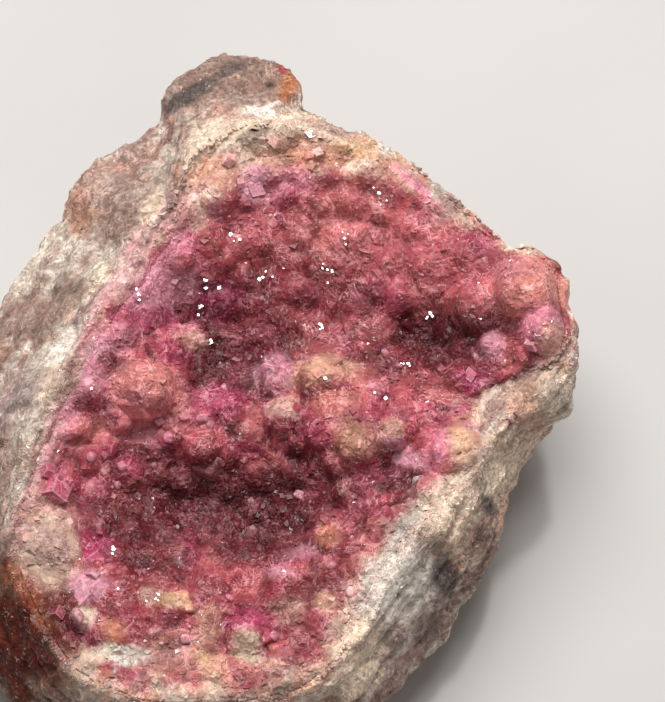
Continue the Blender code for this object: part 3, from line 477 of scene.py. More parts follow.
def broken_relief(points):
    """Lumps, hollows and ledges of broken rock, as a distance outwards from the smooth form."""
    lumps = 0.6 * noise(points, 6.5, 1) + 0.3 * noise(points, 3.1, 2) + 0.15 * noise(points, 1.6, 3)
    level = points[..., 2] / LEDGE_RISE + 0.8 * noise(points, 9.0, 4)
    ledge = np.abs(2 * (level - np.floor(level)) - 1) ** 3
    return ROCK_RELIEF * lumps - LEDGE_DEPTH * ledge


def broken_off(points, amount):
    """Points that lie past a flat break, drawn in level until they are on it."""
    points = points.copy()
    for heading, elevation, distance in BREAKS:
        away = np.array([math.cos(math.radians(heading)), math.sin(math.radians(heading))])
        facing = np.append(away * math.cos(math.radians(elevation)), math.sin(math.radians(elevation)))
        past = (points - (0, 0, RELIEF_CENTRE_Z)) @ facing - distance
        inwards = amount * np.maximum(past, 0) / math.cos(math.radians(elevation))
        points[..., :2] -= away * inwards[..., None]
    return points


def with_relief(points, amount):
    """Points moved straight away from the rock's middle by their relief, less so near the resting face."""
    points = broken_off(points, amount)
    fade = np.clip(points[..., 2] / FOOT_FADE, 0, 1)
    outward = points - (0, 0, RELIEF_CENTRE_Z)
    outward[..., 2] *= 0.6
    outward /= np.linalg.norm(outward, axis=-1, keepdims=True)
    return points + outward * (amount * fade * broken_relief(points))[..., None]


def polar(radius, direction, height):
    """Points from a radius, a direction in degrees and a height."""
    turn = np.radians(direction)
    return np.stack(np.broadcast_arrays(radius * np.cos(turn), radius * np.sin(turn), height), -1)


def grid_normals(points):
    """Outward directions of a grid whose rings go round anticlockwise, each one lower or further out."""
    along = np.gradient(points, axis=0)
    around = np.roll(points, -1, axis=1) - np.roll(points, 1, axis=1)
    normal = np.cross(along, around)
    return normal / np.maximum(np.linalg.norm(normal, axis=-1, keepdims=True), 1e-9)


def rock_surface(around, slope_rings, wall_rings):
    """The rock outside the crust as a grid of rings, out over the slope and down the wall, and its relief.

    A slope ring is a share of the way from the crust's limit to the outline, on the face; a wall ring is
    the outline drawn in by a power of the way down. The relief is 0 where the rock meets the crust.
    """
    direction = np.arange(around) * 360 / around
    limit, outer = read_ring(LIMIT_RADIUS, direction), read_ring(OUTLINE_RADIUS, direction)
    out = np.linspace(0, 1, slope_rings)[:, None]
    radius = limit + (outer - limit) * out
    slope = polar(radius, direction, 0)
    slope[..., 2] = face_height(slope[..., 0], slope[..., 1])
    relief = np.clip((radius - limit) / RELIEF_RUN, 0, SLOPE_RELIEF)
    down = np.linspace(0, 1, wall_rings + 1)[1:, None]
    drawn_in = 1 - (1 - read_ring(BASE_TABLE, direction)) * down**WALL_POWER
    wall = polar(outer * drawn_in, direction, read_ring(OUTLINE_Z, direction) * (1 - down))
    wall_relief = relief[-1] + (1 - relief[-1]) * smooth_step(0, 0.15, down)
    points = with_relief(np.concatenate([slope, wall]), np.concatenate([relief, wall_relief]))
    return points, np.concatenate([relief, np.full((wall_rings, around), 1.0)])


def rock_grain(points):
    """Fine relief of the stone: ridges along the bedding, crumbly grains, pits and thin proud veins."""
    drawn = streaked(points)
    ridges = 0.34 * noise(drawn, 1.7, 26) + 0.22 * ridged(drawn, 1.1, 27)
    grain = 0.14 * noise(points, 0.9, 21) + 0.09 * noise(points, 0.5, 22) + 0.05 * noise(points, 0.28, 23)
    pits = smooth_step(0.5, 0.85, noise(points, 1.5, 24)) * 0.4
    return ridges + grain - pits - 0.1


def seat_height(x, y, share):
    """The rock's surface under the crust: the face less a recess that deepens inwards from the limit."""
    ramp = np.clip((1 - share) / SEAT_RAMP, 0, 1)
    return face_height(x, y) - EDGE_RECESS - (INNER_RECESS - EDGE_RECESS) * ramp


def scattered(rng, pitch, keep_inside):
    """Plan points of a hexagonal grid over the crust, each moved a little, that lie inside its limit."""
    rows = np.arange(-SCATTER_REACH_Y, SCATTER_REACH_Y, pitch * ROW_PITCH)
    across = np.arange(-SCATTER_REACH_X, SCATTER_REACH_X, pitch)
    x, y = np.meshgrid(across, rows)
    x = x + (np.arange(len(rows)) % 2)[:, None] * pitch / 2
    x, y = x.ravel(), y.ravel()
    x = x + rng.uniform(-SCATTER_SHIFT, SCATTER_SHIFT, x.size) * pitch
    y = y + rng.uniform(-SCATTER_SHIFT, SCATTER_SHIFT, y.size) * pitch
    inside = limit_share(x, y) < keep_inside
    return x[inside], y[inside]


def clear_of(x, y, taken):
    """Which points keep nine tenths of each taken place's size from its middle."""
    clear = np.ones(x.shape, bool)
    for taken_x, taken_y, size in taken:
        clear &= np.hypot(x - taken_x, y - taken_y) > 0.9 * size
    return clear


def grown():
    """All the lumps, and the small crystals scattered between the named ones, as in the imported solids."""
    rng = np.random.default_rng(SCATTER_SEED)
    x, y = scattered(rng, SCATTER_PITCH, 0.94)
    radius, rise = rng.uniform(*SCATTER_RADIUS, x.size), rng.uniform(*SCATTER_RISE, x.size)
    clear = clear_of(x, y, [(lump[0], lump[1], lump[3]) for lump in LUMPS])
    lumps = LUMPS + list(zip(x[clear], y[clear], 0.6 * rise[clear], radius[clear]))
    x, y = scattered(rng, CRYSTAL_PITCH, 0.85)
    edge, tilt = rng.uniform(*CRYSTAL_EDGE, x.size), rng.uniform(*CRYSTAL_TILT, x.size)
    heading, spin = rng.uniform(0, 360, x.size), rng.uniform(0, 120, x.size)
    clear = clear_of(x, y, [crystal[:3] for crystal in CRYSTALS])
    return lumps, np.stack([x, y, edge, tilt, heading, spin], -1)[clear]


ALL_LUMPS, SMALL_CRYSTALS = grown()


def crust_height(x, y):
    """Top of the crust: the face and a thin layer, with a ball's cap rising out of it at each lump."""
    share = limit_share(x, y)
    face = face_height(x, y)
    height = face + INNER_STAND
    for lump_x, lump_y, rise, radius in ALL_LUMPS:
        near = np.hypot(x - lump_x, y - lump_y) < radius
        above = radius**2 - (x[near] - lump_x) ** 2 - (y[near] - lump_y) ** 2
        middle_z = face_height(np.float64(lump_x), np.float64(lump_y)) + INNER_STAND + rise - radius
        cap = middle_z + np.sqrt(above)
        height[near] = -smooth_least(-height[near], -cap, LUMP_ROUNDING)
    edge = smooth_step(1.0, 0.95, share)
    return face + EDGE_STAND * (1 - edge) + (height - face) * edge


def knobs(x, y, size, seed):
    """Rounded knobs, one to each cell of an uneven grid: the highest of the balls' caps that reach a point.

    Returns the height, from 0 in the gaps to about 1 on top, and a number from -1 to 1 that each knob has
    for itself.
    """
    cell_x, cell_y = np.floor(x / size).astype(np.int64), np.floor(y / size).astype(np.int64)
    height, own = np.zeros(x.shape), np.zeros(x.shape)
    for dx in (-1, 0, 1):
        for dy in (-1, 0, 1):
            cell = (cell_x + dx + 500, cell_y + dy + 500)
            middle_x = (cell[0] - 499.5 + 0.4 * lattice((*cell, 0), seed)) * size
            middle_y = (cell[1] - 499.5 + 0.4 * lattice((*cell, 1), seed)) * size
            radius = size * (0.66 + 0.16 * lattice((*cell, 2), seed))
            within = 1 - ((x - middle_x) ** 2 + (y - middle_y) ** 2) / radius**2
            cap = np.sqrt(np.maximum(within, 0)) * (0.8 + 0.2 * lattice((*cell, 3), seed))
            own = np.where(cap > height, lattice((*cell, 4), seed), own)
            height = np.maximum(height, cap)
    return height, own


def crust_knobs(x, y):
    """Coarse and fine knobs of the crust, their grid bent by noise, and the coarse knobs' own numbers."""
    plan = np.stack([x, y, np.zeros_like(x)], -1)
    bent_x = x + 0.8 * noise(plan, 3.5, 35) + 0.3 * noise(plan, 1.3, 36)
    bent_y = y + 0.8 * noise(plan, 3.5, 37) + 0.3 * noise(plan, 1.3, 38)
    coarse, own = knobs(bent_x, bent_y, 2.7, 39)
    fine, _ = knobs(bent_x, bent_y, 1.15, 40)
    return coarse, fine, own


def crust_grain(x, y, height):
    """Fine relief of the crust: knobs on knobs, and thin crests like the edges of tiny crystals."""
    points = np.stack([x, y, height], -1)
    fade = smooth_step(1.0, 0.97, limit_share(x, y))
    coarse, fine, _ = crust_knobs(x, y)
    rounded = 0.34 * coarse + 0.2 * fine - 0.24
    uneven = 0.38 * noise(points, 3.2, 30) + 0.2 * noise(points, 1.5, 31)
    return fade * (rounded + uneven + 0.16 * ridged(points, 1.7, 32) + 0.1 * ridged(points, 0.7, 33))


def disk_grid(cells):
    """Plan points of a square grid that is bent to fill a disk, then stretched to the crust's limit.

    Each square ring of the grid becomes a round one: its distance from the middle is the larger of the two
    coordinates, and its direction runs evenly along the ring.
    """
    line = np.linspace(-1, 1, cells + 1)
    across, along = np.meshgrid(line, line, indexing="ij")
    share = np.maximum(np.abs(across), np.abs(along))
    safe = np.where(share > 0, share, 1)
    side_on = np.abs(across) >= np.abs(along)
    turn = np.where(side_on, along / safe, 2 - across / safe) * 45
    turn = np.where(side_on, np.where(across < 0, 180 - turn, turn), turn * np.sign(along))
    radius = share * read_ring(LIMIT_RADIUS, turn % 360)
    return radius * np.cos(np.radians(turn)), radius * np.sin(np.radians(turn))


def rim_order(cells):
    """Indices of a grid's outer points, anticlockwise from the corner at 315 degrees."""
    index = np.arange((cells + 1) ** 2).reshape(cells + 1, cells + 1)
    return np.concatenate([index[-1, :-1], index[:0:-1, -1], index[0, :0:-1], index[:-1, 0]])


def ring_faces(rings):
    """Quads between successive rings of point indices, each ring as long as the next."""
    inner, outer = rings[:-1], rings[1:]
    return np.stack([inner, outer, np.roll(outer, -1, 1), np.roll(inner, -1, 1)], -1).reshape(-1, 4)


def linear(colour):
    """Scene-linear values of a display colour from 0 to 255."""
    share = np.asarray(colour, float) / 255
    return np.where(share <= 0.04045, share / 12.92, ((share + 0.055) / 1.055) ** 2.4)


COLOURS = {name: linear(colour) for name, colour in PALETTE.items()}


def blend_to(tint, name, weight):
    """Mixes a named colour into a field of colours by a weight for each point."""
    return tint + (COLOURS[name] - tint) * np.clip(weight, 0, 1)[..., None]


def with_patches(tint, points, patches):
    """Lays the listed patches over the colours, each with a ragged border about its spot on the face."""
    ragged = 0.28 * noise(points, 2.3, 41) + 0.16 * noise(points, 0.8, 42)
    spots_z = face_height(*np.array([patch[:2] for patch in patches]).T)
    for (x, y, half_x, half_y, turn, name, strength), z in zip(patches, spots_z):
        cos, sin = math.cos(math.radians(turn)), math.sin(math.radians(turn))
        along = (points[..., 0] - x) * cos + (points[..., 1] - y) * sin
        across = (points[..., 1] - y) * cos - (points[..., 0] - x) * sin
        rise = (points[..., 2] - z) / min(PATCH_HEIGHT * max(half_x, half_y), TALLEST_PATCH)
        reach = np.sqrt((along / half_x) ** 2 + (across / half_y) ** 2 + rise**2) + ragged
        tint = blend_to(tint, name, strength * smooth_step(1.45, 0.6, reach))
    return tint


def crust_tint(points):
    """Colour of the crust: rose on high ground, maroon in the deep and the gaps (partly painted shade),
    cream along the rim.
    """
    x, y, z = np.moveaxis(points, -1, 0)
    direction, share = heading_of(x, y), limit_share(x, y)
    # Depth under the crest darkens the colour towards raspberry and maroon: partly the crystals' deeper
    # colour, partly painted shade.
    depth = np.clip((read_ring(CREST_Z, direction) - z - 0.3) / 6.0, 0, 1) * smooth_step(1.0, 0.88, share)
    wide, mid, fine = noise(points, 5.0, 51), noise(points, 2.2, 52), noise(points, 0.9, 53)
    coarse, small, own = crust_knobs(x, y)
    top = 0.7 * coarse + 0.3 * small
    tint = np.broadcast_to(COLOURS["rose"], points.shape)
    tint = blend_to(tint, "raspberry", 0.3 + 0.9 * depth + 0.25 * mid)
    tint = blend_to(tint, "salmon", 0.6 * smooth_step(0.25, 0.7, own + 0.4 * wide) * (1 - 0.7 * depth))
    tint = blend_to(tint, "magenta", 0.5 * smooth_step(0.3, 0.8, -own + 0.4 * noise(points, 3.4, 54)))
    tint = blend_to(tint, "cherry", 0.4 * smooth_step(0.1, 0.8, fine))
    # Maroon where the crust lies deep and in the gaps between the knobs: partly painted shade.
    tint = blend_to(tint, "maroon", smooth_step(0.25, 1.0, depth + 0.25 * mid - 0.35 * top + 0.1))
    tint = blend_to(tint, "maroon", 0.55 * smooth_step(0.5, 0.1, top))
    tint = blend_to(tint, "pink", 0.35 * smooth_step(0.7, 1.0, top + 0.15 * fine) * (1 - 0.7 * depth))
    pale_from = read_ring(PALE_TABLE, direction)
    rim = smooth_step(0, 0.07, share - pale_from + 0.05 * mid + 0.03 * fine)
    tint = blend_to(tint, "peach", 0.85 * rim)
    tint = blend_to(tint, "cream", 0.8 * rim * smooth_step(-0.1, 0.5, mid + 0.5 * fine + 0.3 * top))
    tint = with_patches(tint, points, ROCK_PATCHES)
    return with_patches(tint, points, CRUST_PATCHES)


def face_tint(points):
    """Colour anywhere on the specimen: the crust's gives way to the stone's along a ragged border.

    Well under the rim it is the stone's everywhere.
    """
    drawn = streaked(points)
    x, y = points[..., 0], points[..., 1]
    past = limit_share(x, y) - read_ring(PINK_TABLE, heading_of(x, y))
    past = past + 0.09 * noise(drawn, 2.6, 55) + 0.06 * noise(drawn, 1.0, 56)
    past = past + 0.03 * noise(drawn, 0.5, 57)
    under_rim = smooth_step(2.0, 3.5, face_height(x, y) - points[..., 2] + 0.8 * noise(points, 2.0, 58))
    stone = np.maximum(smooth_step(-0.08, 0.07, past), under_rim)[..., None]
    along_left = smooth_step(65, 35, np.abs(heading_of(x, y) - 155))
    pink = blend_to(crust_tint(points), "lilac", 0.6 * along_left * smooth_step(-0.2, -0.02, past))
    return pink * (1 - stone) + rock_tint(points) * stone


def streaked(points):
    """Points with distances along the bedding shortened, so that noise on them draws out into streaks."""
    along = points[..., :2] @ np.array(BEDDING)
    flat = points[..., :2] - along[..., None] * np.array(BEDDING) * (1 - 1 / STREAK_LENGTH)
    return np.concatenate([flat, points[..., 2:]], -1)


def rock_tint(points):
    """Colour of the stone: dusky and grey with cream streaks along the bedding, stains and some rust."""
    drawn = streaked(points)
    wide, mid, fine = noise(drawn, 5.0, 61), noise(drawn, 1.6, 62), noise(points, 0.6, 63)
    tint = np.broadcast_to(COLOURS["dusky"], points.shape)
    tint = blend_to(tint, "greybrown", 0.6 * smooth_step(-0.2, 0.7, wide + 0.4 * mid))
    tint = blend_to(tint, "bone", 0.75 * smooth_step(-0.05, 0.5, noise(drawn, 2.6, 64) + 0.35 * fine))
    tint = blend_to(tint, "white", 0.6 * smooth_step(0.55, 0.95, ridged(drawn, 1.5, 65) + 0.25 * fine))
    tint = blend_to(tint, "rust", 0.4 * smooth_step(0.48, 0.8, noise(points, 5.1, 66) + 0.15 * fine))
    tint = blend_to(tint, "orange", 0.4 * smooth_step(0.3, 0.75, noise(points, 1.9, 75) + 0.3 * fine))
    tint = blend_to(tint, "umber", 0.4 * smooth_step(0.25, 0.8, noise(points, 1.2, 67) + 0.3 * mid))
    tint = blend_to(tint, "white", 0.35 * smooth_step(0.3, 0.8, ridged(drawn, 0.8, 69) + 0.3 * fine - 0.2))
    tint = with_patches(tint * bpy.context.scene.specimen_rock.brightness, points, ROCK_PATCHES)
    return blend_to(tint, "stain", 0.5 * smooth_step(0.6, 0.85, noise(points, 1.1, 68)))


def freckled(tint, points, seed):
    """Lightens and darkens colours by fine noise."""
    change = FRECKLING * (0.6 * noise(points, 0.45, seed) + 0.4 * noise(points, 0.2, seed + 1))
    return np.clip(tint * (1 + change)[..., None], 0, 1)


def face_turns(normals, tilt, heading, spin):
    """Turning matrices: a spin, a tilt and a heading in degrees, then upright to the normal the short way.

    The last turn is the rotation between two directions: one, plus their cross matrix, plus its square
    over one plus their cosine.
    """
    x, y, z = np.moveaxis(normals, -1, 0)
    zero, scale = np.zeros_like(x), 1 / (1 + z)
    cross = np.stack([zero, zero, x, zero, zero, y, -x, -y, zero], -1).reshape(*x.shape, 3, 3)
    upright = np.eye(3) + cross + (cross @ cross) * scale[..., None, None]
    return upright @ about_z(heading) @ about_y(tilt) @ about_z(spin)


def about_z(degrees):
    """Turning matrices about Z."""
    turn = np.radians(degrees)
    cos, sin, zero, one = np.cos(turn), np.sin(turn), np.zeros_like(turn), np.ones_like(turn)
    return np.stack([cos, -sin, zero, sin, cos, zero, zero, zero, one], -1).reshape(*turn.shape, 3, 3)


def about_y(degrees):
    """Turning matrices about Y."""
    turn = np.radians(degrees)
    cos, sin, zero, one = np.cos(turn), np.sin(turn), np.zeros_like(turn), np.ones_like(turn)
    return np.stack([cos, zero, sin, zero, one, zero, -sin, zero, cos], -1).reshape(*turn.shape, 3, 3)


def rhomb_corners():
    """A rhombohedron of edge 1 about the origin: a cube on a corner, pressed along its diagonal."""
    cube = [Vector((a, b, c)) for a in (-0.5, 0.5) for b in (-0.5, 0.5) for c in (-0.5, 0.5)]
    upright = Vector((1, 1, 1)).rotation_difference(Vector((0, 0, 1))).to_matrix()
    corners = np.array([upright @ corner for corner in cube]) * (1, 1, RHOMB_FLATTENING)
    return corners / np.linalg.norm(corners[1] - corners[0])


RHOMB = rhomb_corners()
RHOMB_RISE = (RHOMB[:, 2] - RHOMB[:, 2].min()) / np.ptp(RHOMB[:, 2])
RHOMB_QUADS = np.array([(0, 1, 3, 2), (4, 6, 7, 5), (0, 4, 5, 1), (2, 3, 7, 6), (0, 2, 6, 4), (1, 5, 7, 3)])


def rhomb_points(middles, turns, edges):
    """Corners of many rhombs: each one is the plain rhomb turned, times its edge, at its middle."""
    return np.einsum("nij,kj->nki", turns, RHOMB) * edges[:, None, None] + middles[:, None, :]


def rhombs(middles, turns, edges):
    """Corners and faces of many rhombs, as one list of points and one of quads."""
    corners = rhomb_points(middles, turns, edges)
    faces = RHOMB_QUADS[None] + 8 * np.arange(len(middles))[:, None, None]
    return corners.reshape(-1, 3), faces.reshape(-1, 4)


def crust_surface(x, y):
    """The crust's top with its fine relief."""
    height = crust_height(x, y)
    return height + crust_grain(x, y, height)


def normals_of(height, x, y, step):
    """Directions straight out of a height field, from its slope over a short step."""
    slope_x = (height(x + step, y) - height(x - step, y)) / (2 * step)
    slope_y = (height(x, y + step) - height(x, y - step)) / (2 * step)
    out = np.stack([-slope_x, -slope_y, np.ones_like(slope_x)], -1)
    return out / np.linalg.norm(out, axis=-1, keepdims=True)


def mesh_piece(name, points_mm, face_groups, finish, smooth):
    """An object at the origin from points in millimetres and arrays of triangles or quads."""
    mesh = bpy.data.meshes.new(name)
    mesh.vertices.add(len(points_mm))
    mesh.vertices.foreach_set("co", (np.asarray(points_mm) * MM).astype(np.float32).ravel())
    loops = np.concatenate([faces.ravel() for faces in face_groups])
    sizes = np.concatenate([np.full(len(faces), faces.shape[1]) for faces in face_groups])
    mesh.loops.add(len(loops))
    mesh.loops.foreach_set("vertex_index", loops.astype(np.int32))
    mesh.polygons.add(len(sizes))
    mesh.polygons.foreach_set("loop_start", (np.cumsum(sizes) - sizes).astype(np.int32))
    mesh.polygons.foreach_set("use_smooth", np.full(len(sizes), smooth))
    mesh.update(calc_edges=True)
    mesh.materials.append(finish)
    made = bpy.data.objects.new(name, mesh)
    bpy.context.scene.collection.objects.link(made)
    return made


def give_colours(piece, colours):
    """A colour for each point, as the attribute "tint"."""
    layer = piece.data.color_attributes.new("tint", "FLOAT_COLOR", "POINT")
    values = np.concatenate([colours, np.ones((len(colours), 1))], -1).astype(np.float32)
    layer.data.foreach_set("color", values.ravel())


def give_facets(piece, count):
    """The rhombs' UV map "facet", a whole square a face, and "rise", from 0 at the root to 1 at the tip."""
    layer = piece.data.uv_layers.new(name="facet")
    square = np.array([(0, 0), (1, 0), (1, 1), (0, 1)], np.float32)
    layer.data.foreach_set("uv", np.tile(square, (count * len(RHOMB_QUADS), 1)).ravel())
    rise = piece.data.attributes.new("rise", "FLOAT", "POINT")
    rise.data.foreach_set("value", np.tile(RHOMB_RISE, count).astype(np.float32))


def rhomb_piece(name, placing, colours, finish):
    """Many small rhombs as one object, each of one colour; "ground" is the direction out of its ground."""
    middles, turns, edges, ground = placing
    points, faces = rhombs(middles, turns, edges)
    piece = mesh_piece(name, points, [faces], finish, False)
    give_colours(piece, np.repeat(colours, len(RHOMB), axis=0))
    give_facets(piece, len(middles))
    out = piece.data.attributes.new("ground", "FLOAT_VECTOR", "POINT")
    out.data.foreach_set("vector", np.repeat(ground, len(RHOMB), axis=0).astype(np.float32).ravel())
    return piece


class Graph:
    """A material's nodes, made and joined in short lines."""

    def __init__(self, name):
        self.material = bpy.data.materials.new(name)
        self.material.use_nodes = True
        self.tree = self.material.node_tree
        self.tree.nodes.clear()
        self.output = self.tree.nodes.new("ShaderNodeOutputMaterial")
        self.place = self.node("TexCoord").outputs["Object"]

    def node(self, kind, inputs=(), **settings):
        """A node of that kind; inputs maps a socket's name or number to a value or to another's socket."""
        made = self.tree.nodes.new("ShaderNode" + kind)
        for key, value in settings.items():
            setattr(made, key, value)
        for key, value in dict(inputs).items():
            if isinstance(value, bpy.types.NodeSocket):
                self.tree.links.new(value, made.inputs[key])
            else:
                made.inputs[key].default_value = value
        return made

    def math(self, operation, *values):
        """Arithmetic on numbers or sockets."""
        return self.node("Math", dict(enumerate(values)), operation=operation).outputs[0]

    def vector(self, operation, *values, **named):
        """Vector arithmetic; a number to scale by is given as Scale."""
        return self.node("VectorMath", {**dict(enumerate(values)), **named}, operation=operation).outputs[0]

    def channel(self, colour, index):
        """Red, green or blue of a colour, by its number."""
        return self.node("SeparateColor", {0: colour}).outputs[index]

    def attribute(self, name, kind):
        """One of the mesh's own attributes, as Color, Fac or Vector."""
        return self.node("Attribute", attribute_name=name).outputs[kind]

    def tint(self):
        """The colour that the mesh has at each point."""
        return self.attribute("tint", "Color")

    def mapped(self, value, low, high, to_low=0.0, to_high=1.0):
        """A value's eased share of the way from low to high, as a number from to_low to to_high."""
        inputs = {"Value": value, "From Min": low, "From Max": high, "To Min": to_low, "To Max": to_high}
        return self.node("MapRange", inputs, interpolation_type="SMOOTHSTEP").outputs["Result"]

    def mixed(self, blend, share, a, b):
        """Two colours mixed; either may be a socket or a value."""
        return self.node("Mix", {0: share, 6: a, 7: b}, data_type="RGBA", blend_type=blend).outputs[2]

    def shaded(self, colour, value):
        """A colour times a number."""
        grey = self.node("CombineColor", {0: value, 1: value, 2: value}).outputs[0]
        return self.mixed("MULTIPLY", 1.0, colour, grey)

    def noise(self, size_mm, detail=2.0, roughness=0.5, place=None, **more):
        """Noise from 0 to 1 with bumps of about that size."""
        where = self.place if place is None else place
        inputs = {"Vector": where, "Scale": 1 / (size_mm * MM), "Detail": detail, "Roughness": roughness}
        return self.node("TexNoise", {**inputs, **more}).outputs["Fac"]

    def cells(self, size_mm, feature="F1"):
        """A pattern of cells of about that size."""
        return self.node("TexVoronoi", {"Vector": self.place, "Scale": 1 / (size_mm * MM)}, feature=feature)

    def bump(self, height, distance_mm, strength, under=None):
        """A normal tilted as if by that height, on top of another bump where one is given."""
        inputs = {"Height": height, "Distance": distance_mm * MM, "Strength": strength}
        if under is not None:
            inputs["Normal"] = under
        return self.node("Bump", inputs).outputs["Normal"]

    def strands(self, size_mm, width):
        """Fine pale strands: the lines along which noise bent by itself passes its middle value."""
        off_middle = self.math("SUBTRACT", self.noise(size_mm, 3.0, 0.6, Distortion=1.6), 0.5)
        return self.mapped(self.math("ABSOLUTE", off_middle), 0.0, width, 1.0, 0.0)

    def striae(self, domain_mm, line_mm):
        """Bundles of fine parallel lines, as growth leaves in calcite.

        Noise is pressed thin one way, and each cell of the crystal turns that way for itself.
        """
        turn = self.vector("SCALE", self.cells(domain_mm).outputs["Color"], Scale=CELL_TURN)
        inputs = {"Vector": self.place, "Rotation": turn}
        turned = self.node("VectorRotate", inputs, rotation_type="EULER_XYZ").outputs[0]
        pressed = self.vector("MULTIPLY", turned, LINE_PRESSING)
        return self.mapped(self.noise(line_mm, 2.0, 0.6, place=pressed), 0.5, 0.68)

    def with_shader(self, **inputs):
        """The material, with one shader of these inputs; an underscore stands for a space in a name."""
        named = {key.replace("_", " "): value for key, value in inputs.items()}
        shader = self.node("BsdfPrincipled", named)
        self.tree.links.new(shader.outputs[0], self.output.inputs["Surface"])
        return self.material


def soaking(weight, radius_mm):
    """Shader inputs for light that soaks in: red goes furthest, so pink stone glows at its thin edges."""
    return {
        "Subsurface_Weight": weight,
        "Subsurface_Radius": (1.0, 0.42, 0.48),
        "Subsurface_Scale": radius_mm * MM,
    }


def glossy(look):
    """Shader inputs for a soft body under a clear skin, which alone gives the gloss."""
    return {
        "Roughness": 0.5,
        "IOR": 1.5,
        "Specular_IOR_Level": 0.15,
        "Coat_Weight": look.skin_weight,
        "Coat_Roughness": look.skin_roughness,
        "Coat_IOR": 1.6,
    }


def crystal_colour(graph, look):
    """The tint, lighter or darker from crystal to crystal, overlaid with pale strands and edges that are
    partly painted highlight.

    The strands and edges come and go over a few millimetres, and hardly show on the darkest crystals.
    """
    flecks = graph.mapped(graph.noise(0.35, 3.0, 0.65), 0.32, 0.72, 0.8, 1.2)
    colour = graph.shaded(graph.tint(), flecks)
    tone = graph.channel(graph.cells(1.5).outputs["Color"], 0)
    colour = graph.shaded(colour, graph.mapped(tone, 0.0, 1.0, 0.8, 1.2))
    # Pale cell edges and strands, which also lighten the colour: partly painted highlight of light caught
    # along tiny crystals' edges, partly the crystal's own pale lines.
    edges = graph.mapped(graph.cells(1.5, "DISTANCE_TO_EDGE").outputs["Distance"], 0.0, 0.05, 1.0, 0.0)
    some = graph.mapped(graph.noise(2.4), 0.48, 0.62)
    lines = graph.math("MAXIMUM", graph.strands(1.3, 0.035), graph.striae(*CRYSTAL_STRIAE))
    lines = graph.math("MAXIMUM", lines, graph.math("MULTIPLY", edges, some))
    shown = graph.math("MULTIPLY", lines, graph.mapped(graph.noise(1.8), 0.4, 0.62, 0.15, 1.0))
    colour = graph.shaded(colour, graph.math("MULTIPLY_ADD", shown, 0.7, 0.88))
    bright = graph.mapped(graph.channel(graph.tint(), 0), 0.08, 0.4, 0.35, 1.0)
    pale = graph.math("MULTIPLY", graph.math("MULTIPLY", shown, bright), look.strand_paleness)
    return graph.mixed("MIX", pale, colour, (*look.strand_colour, 1))


def crust_finish(name, look):
    """Glassy pink crystal: soft colour under a clear skin of tiny facets, each leaning its own way."""
    graph = Graph(name)
    tilt = graph.vector("SUBTRACT", graph.cells(0.42).outputs["Color"], (0.5, 0.5, 0.5))
    spread = graph.vector("SCALE", tilt, Scale=look.facet_tilt)
    fine = graph.bump(graph.noise(0.3, 3.0), 0.05, 0.25)
    ripple = graph.bump(graph.striae(*CRYSTAL_STRIAE), 0.07, 0.5, fine)
    return graph.with_shader(
        Base_Color=crystal_colour(graph, look),
        Normal=ripple,
        Coat_Normal=graph.vector("NORMALIZE", graph.vector("ADD", ripple, spread)),
        **glossy(look),
        **soaking(look.soak_weight, look.soak_depth / MM),
    )


def druse_finish(name, look, facet_share, edge_from=0.5, edge_highlight=None):
    """Rhombs of the same crystal, with a painted highlight along their edges near the tip.

    Their bodies take the light as the crust under them does, and only their clear faces glint as facets.
    """
    graph = Graph(name)
    parts = graph.node("SeparateXYZ", {0: graph.node("UVMap", uv_map="facet").outputs["UV"]})
    sides = [graph.math("MULTIPLY_ADD", parts.outputs[axis], 2.0, -1.0) for axis in (0, 1)]
    furthest = graph.math("MAXIMUM", *[graph.math("ABSOLUTE", side) for side in sides])
    # Painted highlight: the faces' edges are paler, the more so towards the crystal's tip.
    tip = graph.mapped(graph.attribute("rise", "Fac"), 0.3, 1.0, 0.0, edge_highlight or look.edge_highlight)
    pale = graph.math("MULTIPLY", graph.mapped(furthest, edge_from, 1.0), tip)
    own = graph.node("NewGeometry").outputs["Normal"]
    normals = {0: facet_share, 4: graph.attribute("ground", "Vector"), 5: own}
    shared = graph.node("Mix", normals, data_type="VECTOR").outputs[1]
    return graph.with_shader(
        Base_Color=graph.mixed("MIX", pale, crystal_colour(graph, look), (*look.strand_colour, 1)),
        Normal=graph.vector("NORMALIZE", shared),
        Coat_Normal=own,
        **glossy(look),
    )


def glass_finish(name, look, density):
    """Calcite that light passes through, with pale strands inside, and takes up its colour on the way."""
    graph = Graph(name)
    lines = graph.math("MAXIMUM", graph.strands(1.3, 0.05), graph.striae(*CRYSTAL_STRIAE))
    pale = graph.math("MULTIPLY", lines, look.strand_paleness)
    soak = graph.node("VolumeAbsorption", {"Color": (*CLEAR_SOAK, 1), "Density": density})
    graph.tree.links.new(soak.outputs[0], graph.output.inputs["Volume"])
    return graph.with_shader(
        Base_Color=graph.mixed("MIX", pale, (*CLEAR_COLOUR, 1), CLEAR_LINE_COLOUR),
        Roughness=graph.mapped(graph.noise(0.9), 0.35, 0.7, 0.08, 0.3),
        Normal=graph.bump(graph.math("ADD", graph.noise(0.5), lines), 0.15, 0.6),
        IOR=1.5,
        Transmission_Weight=CLEARNESS,
        **soaking(0.6, 0.6),
    )


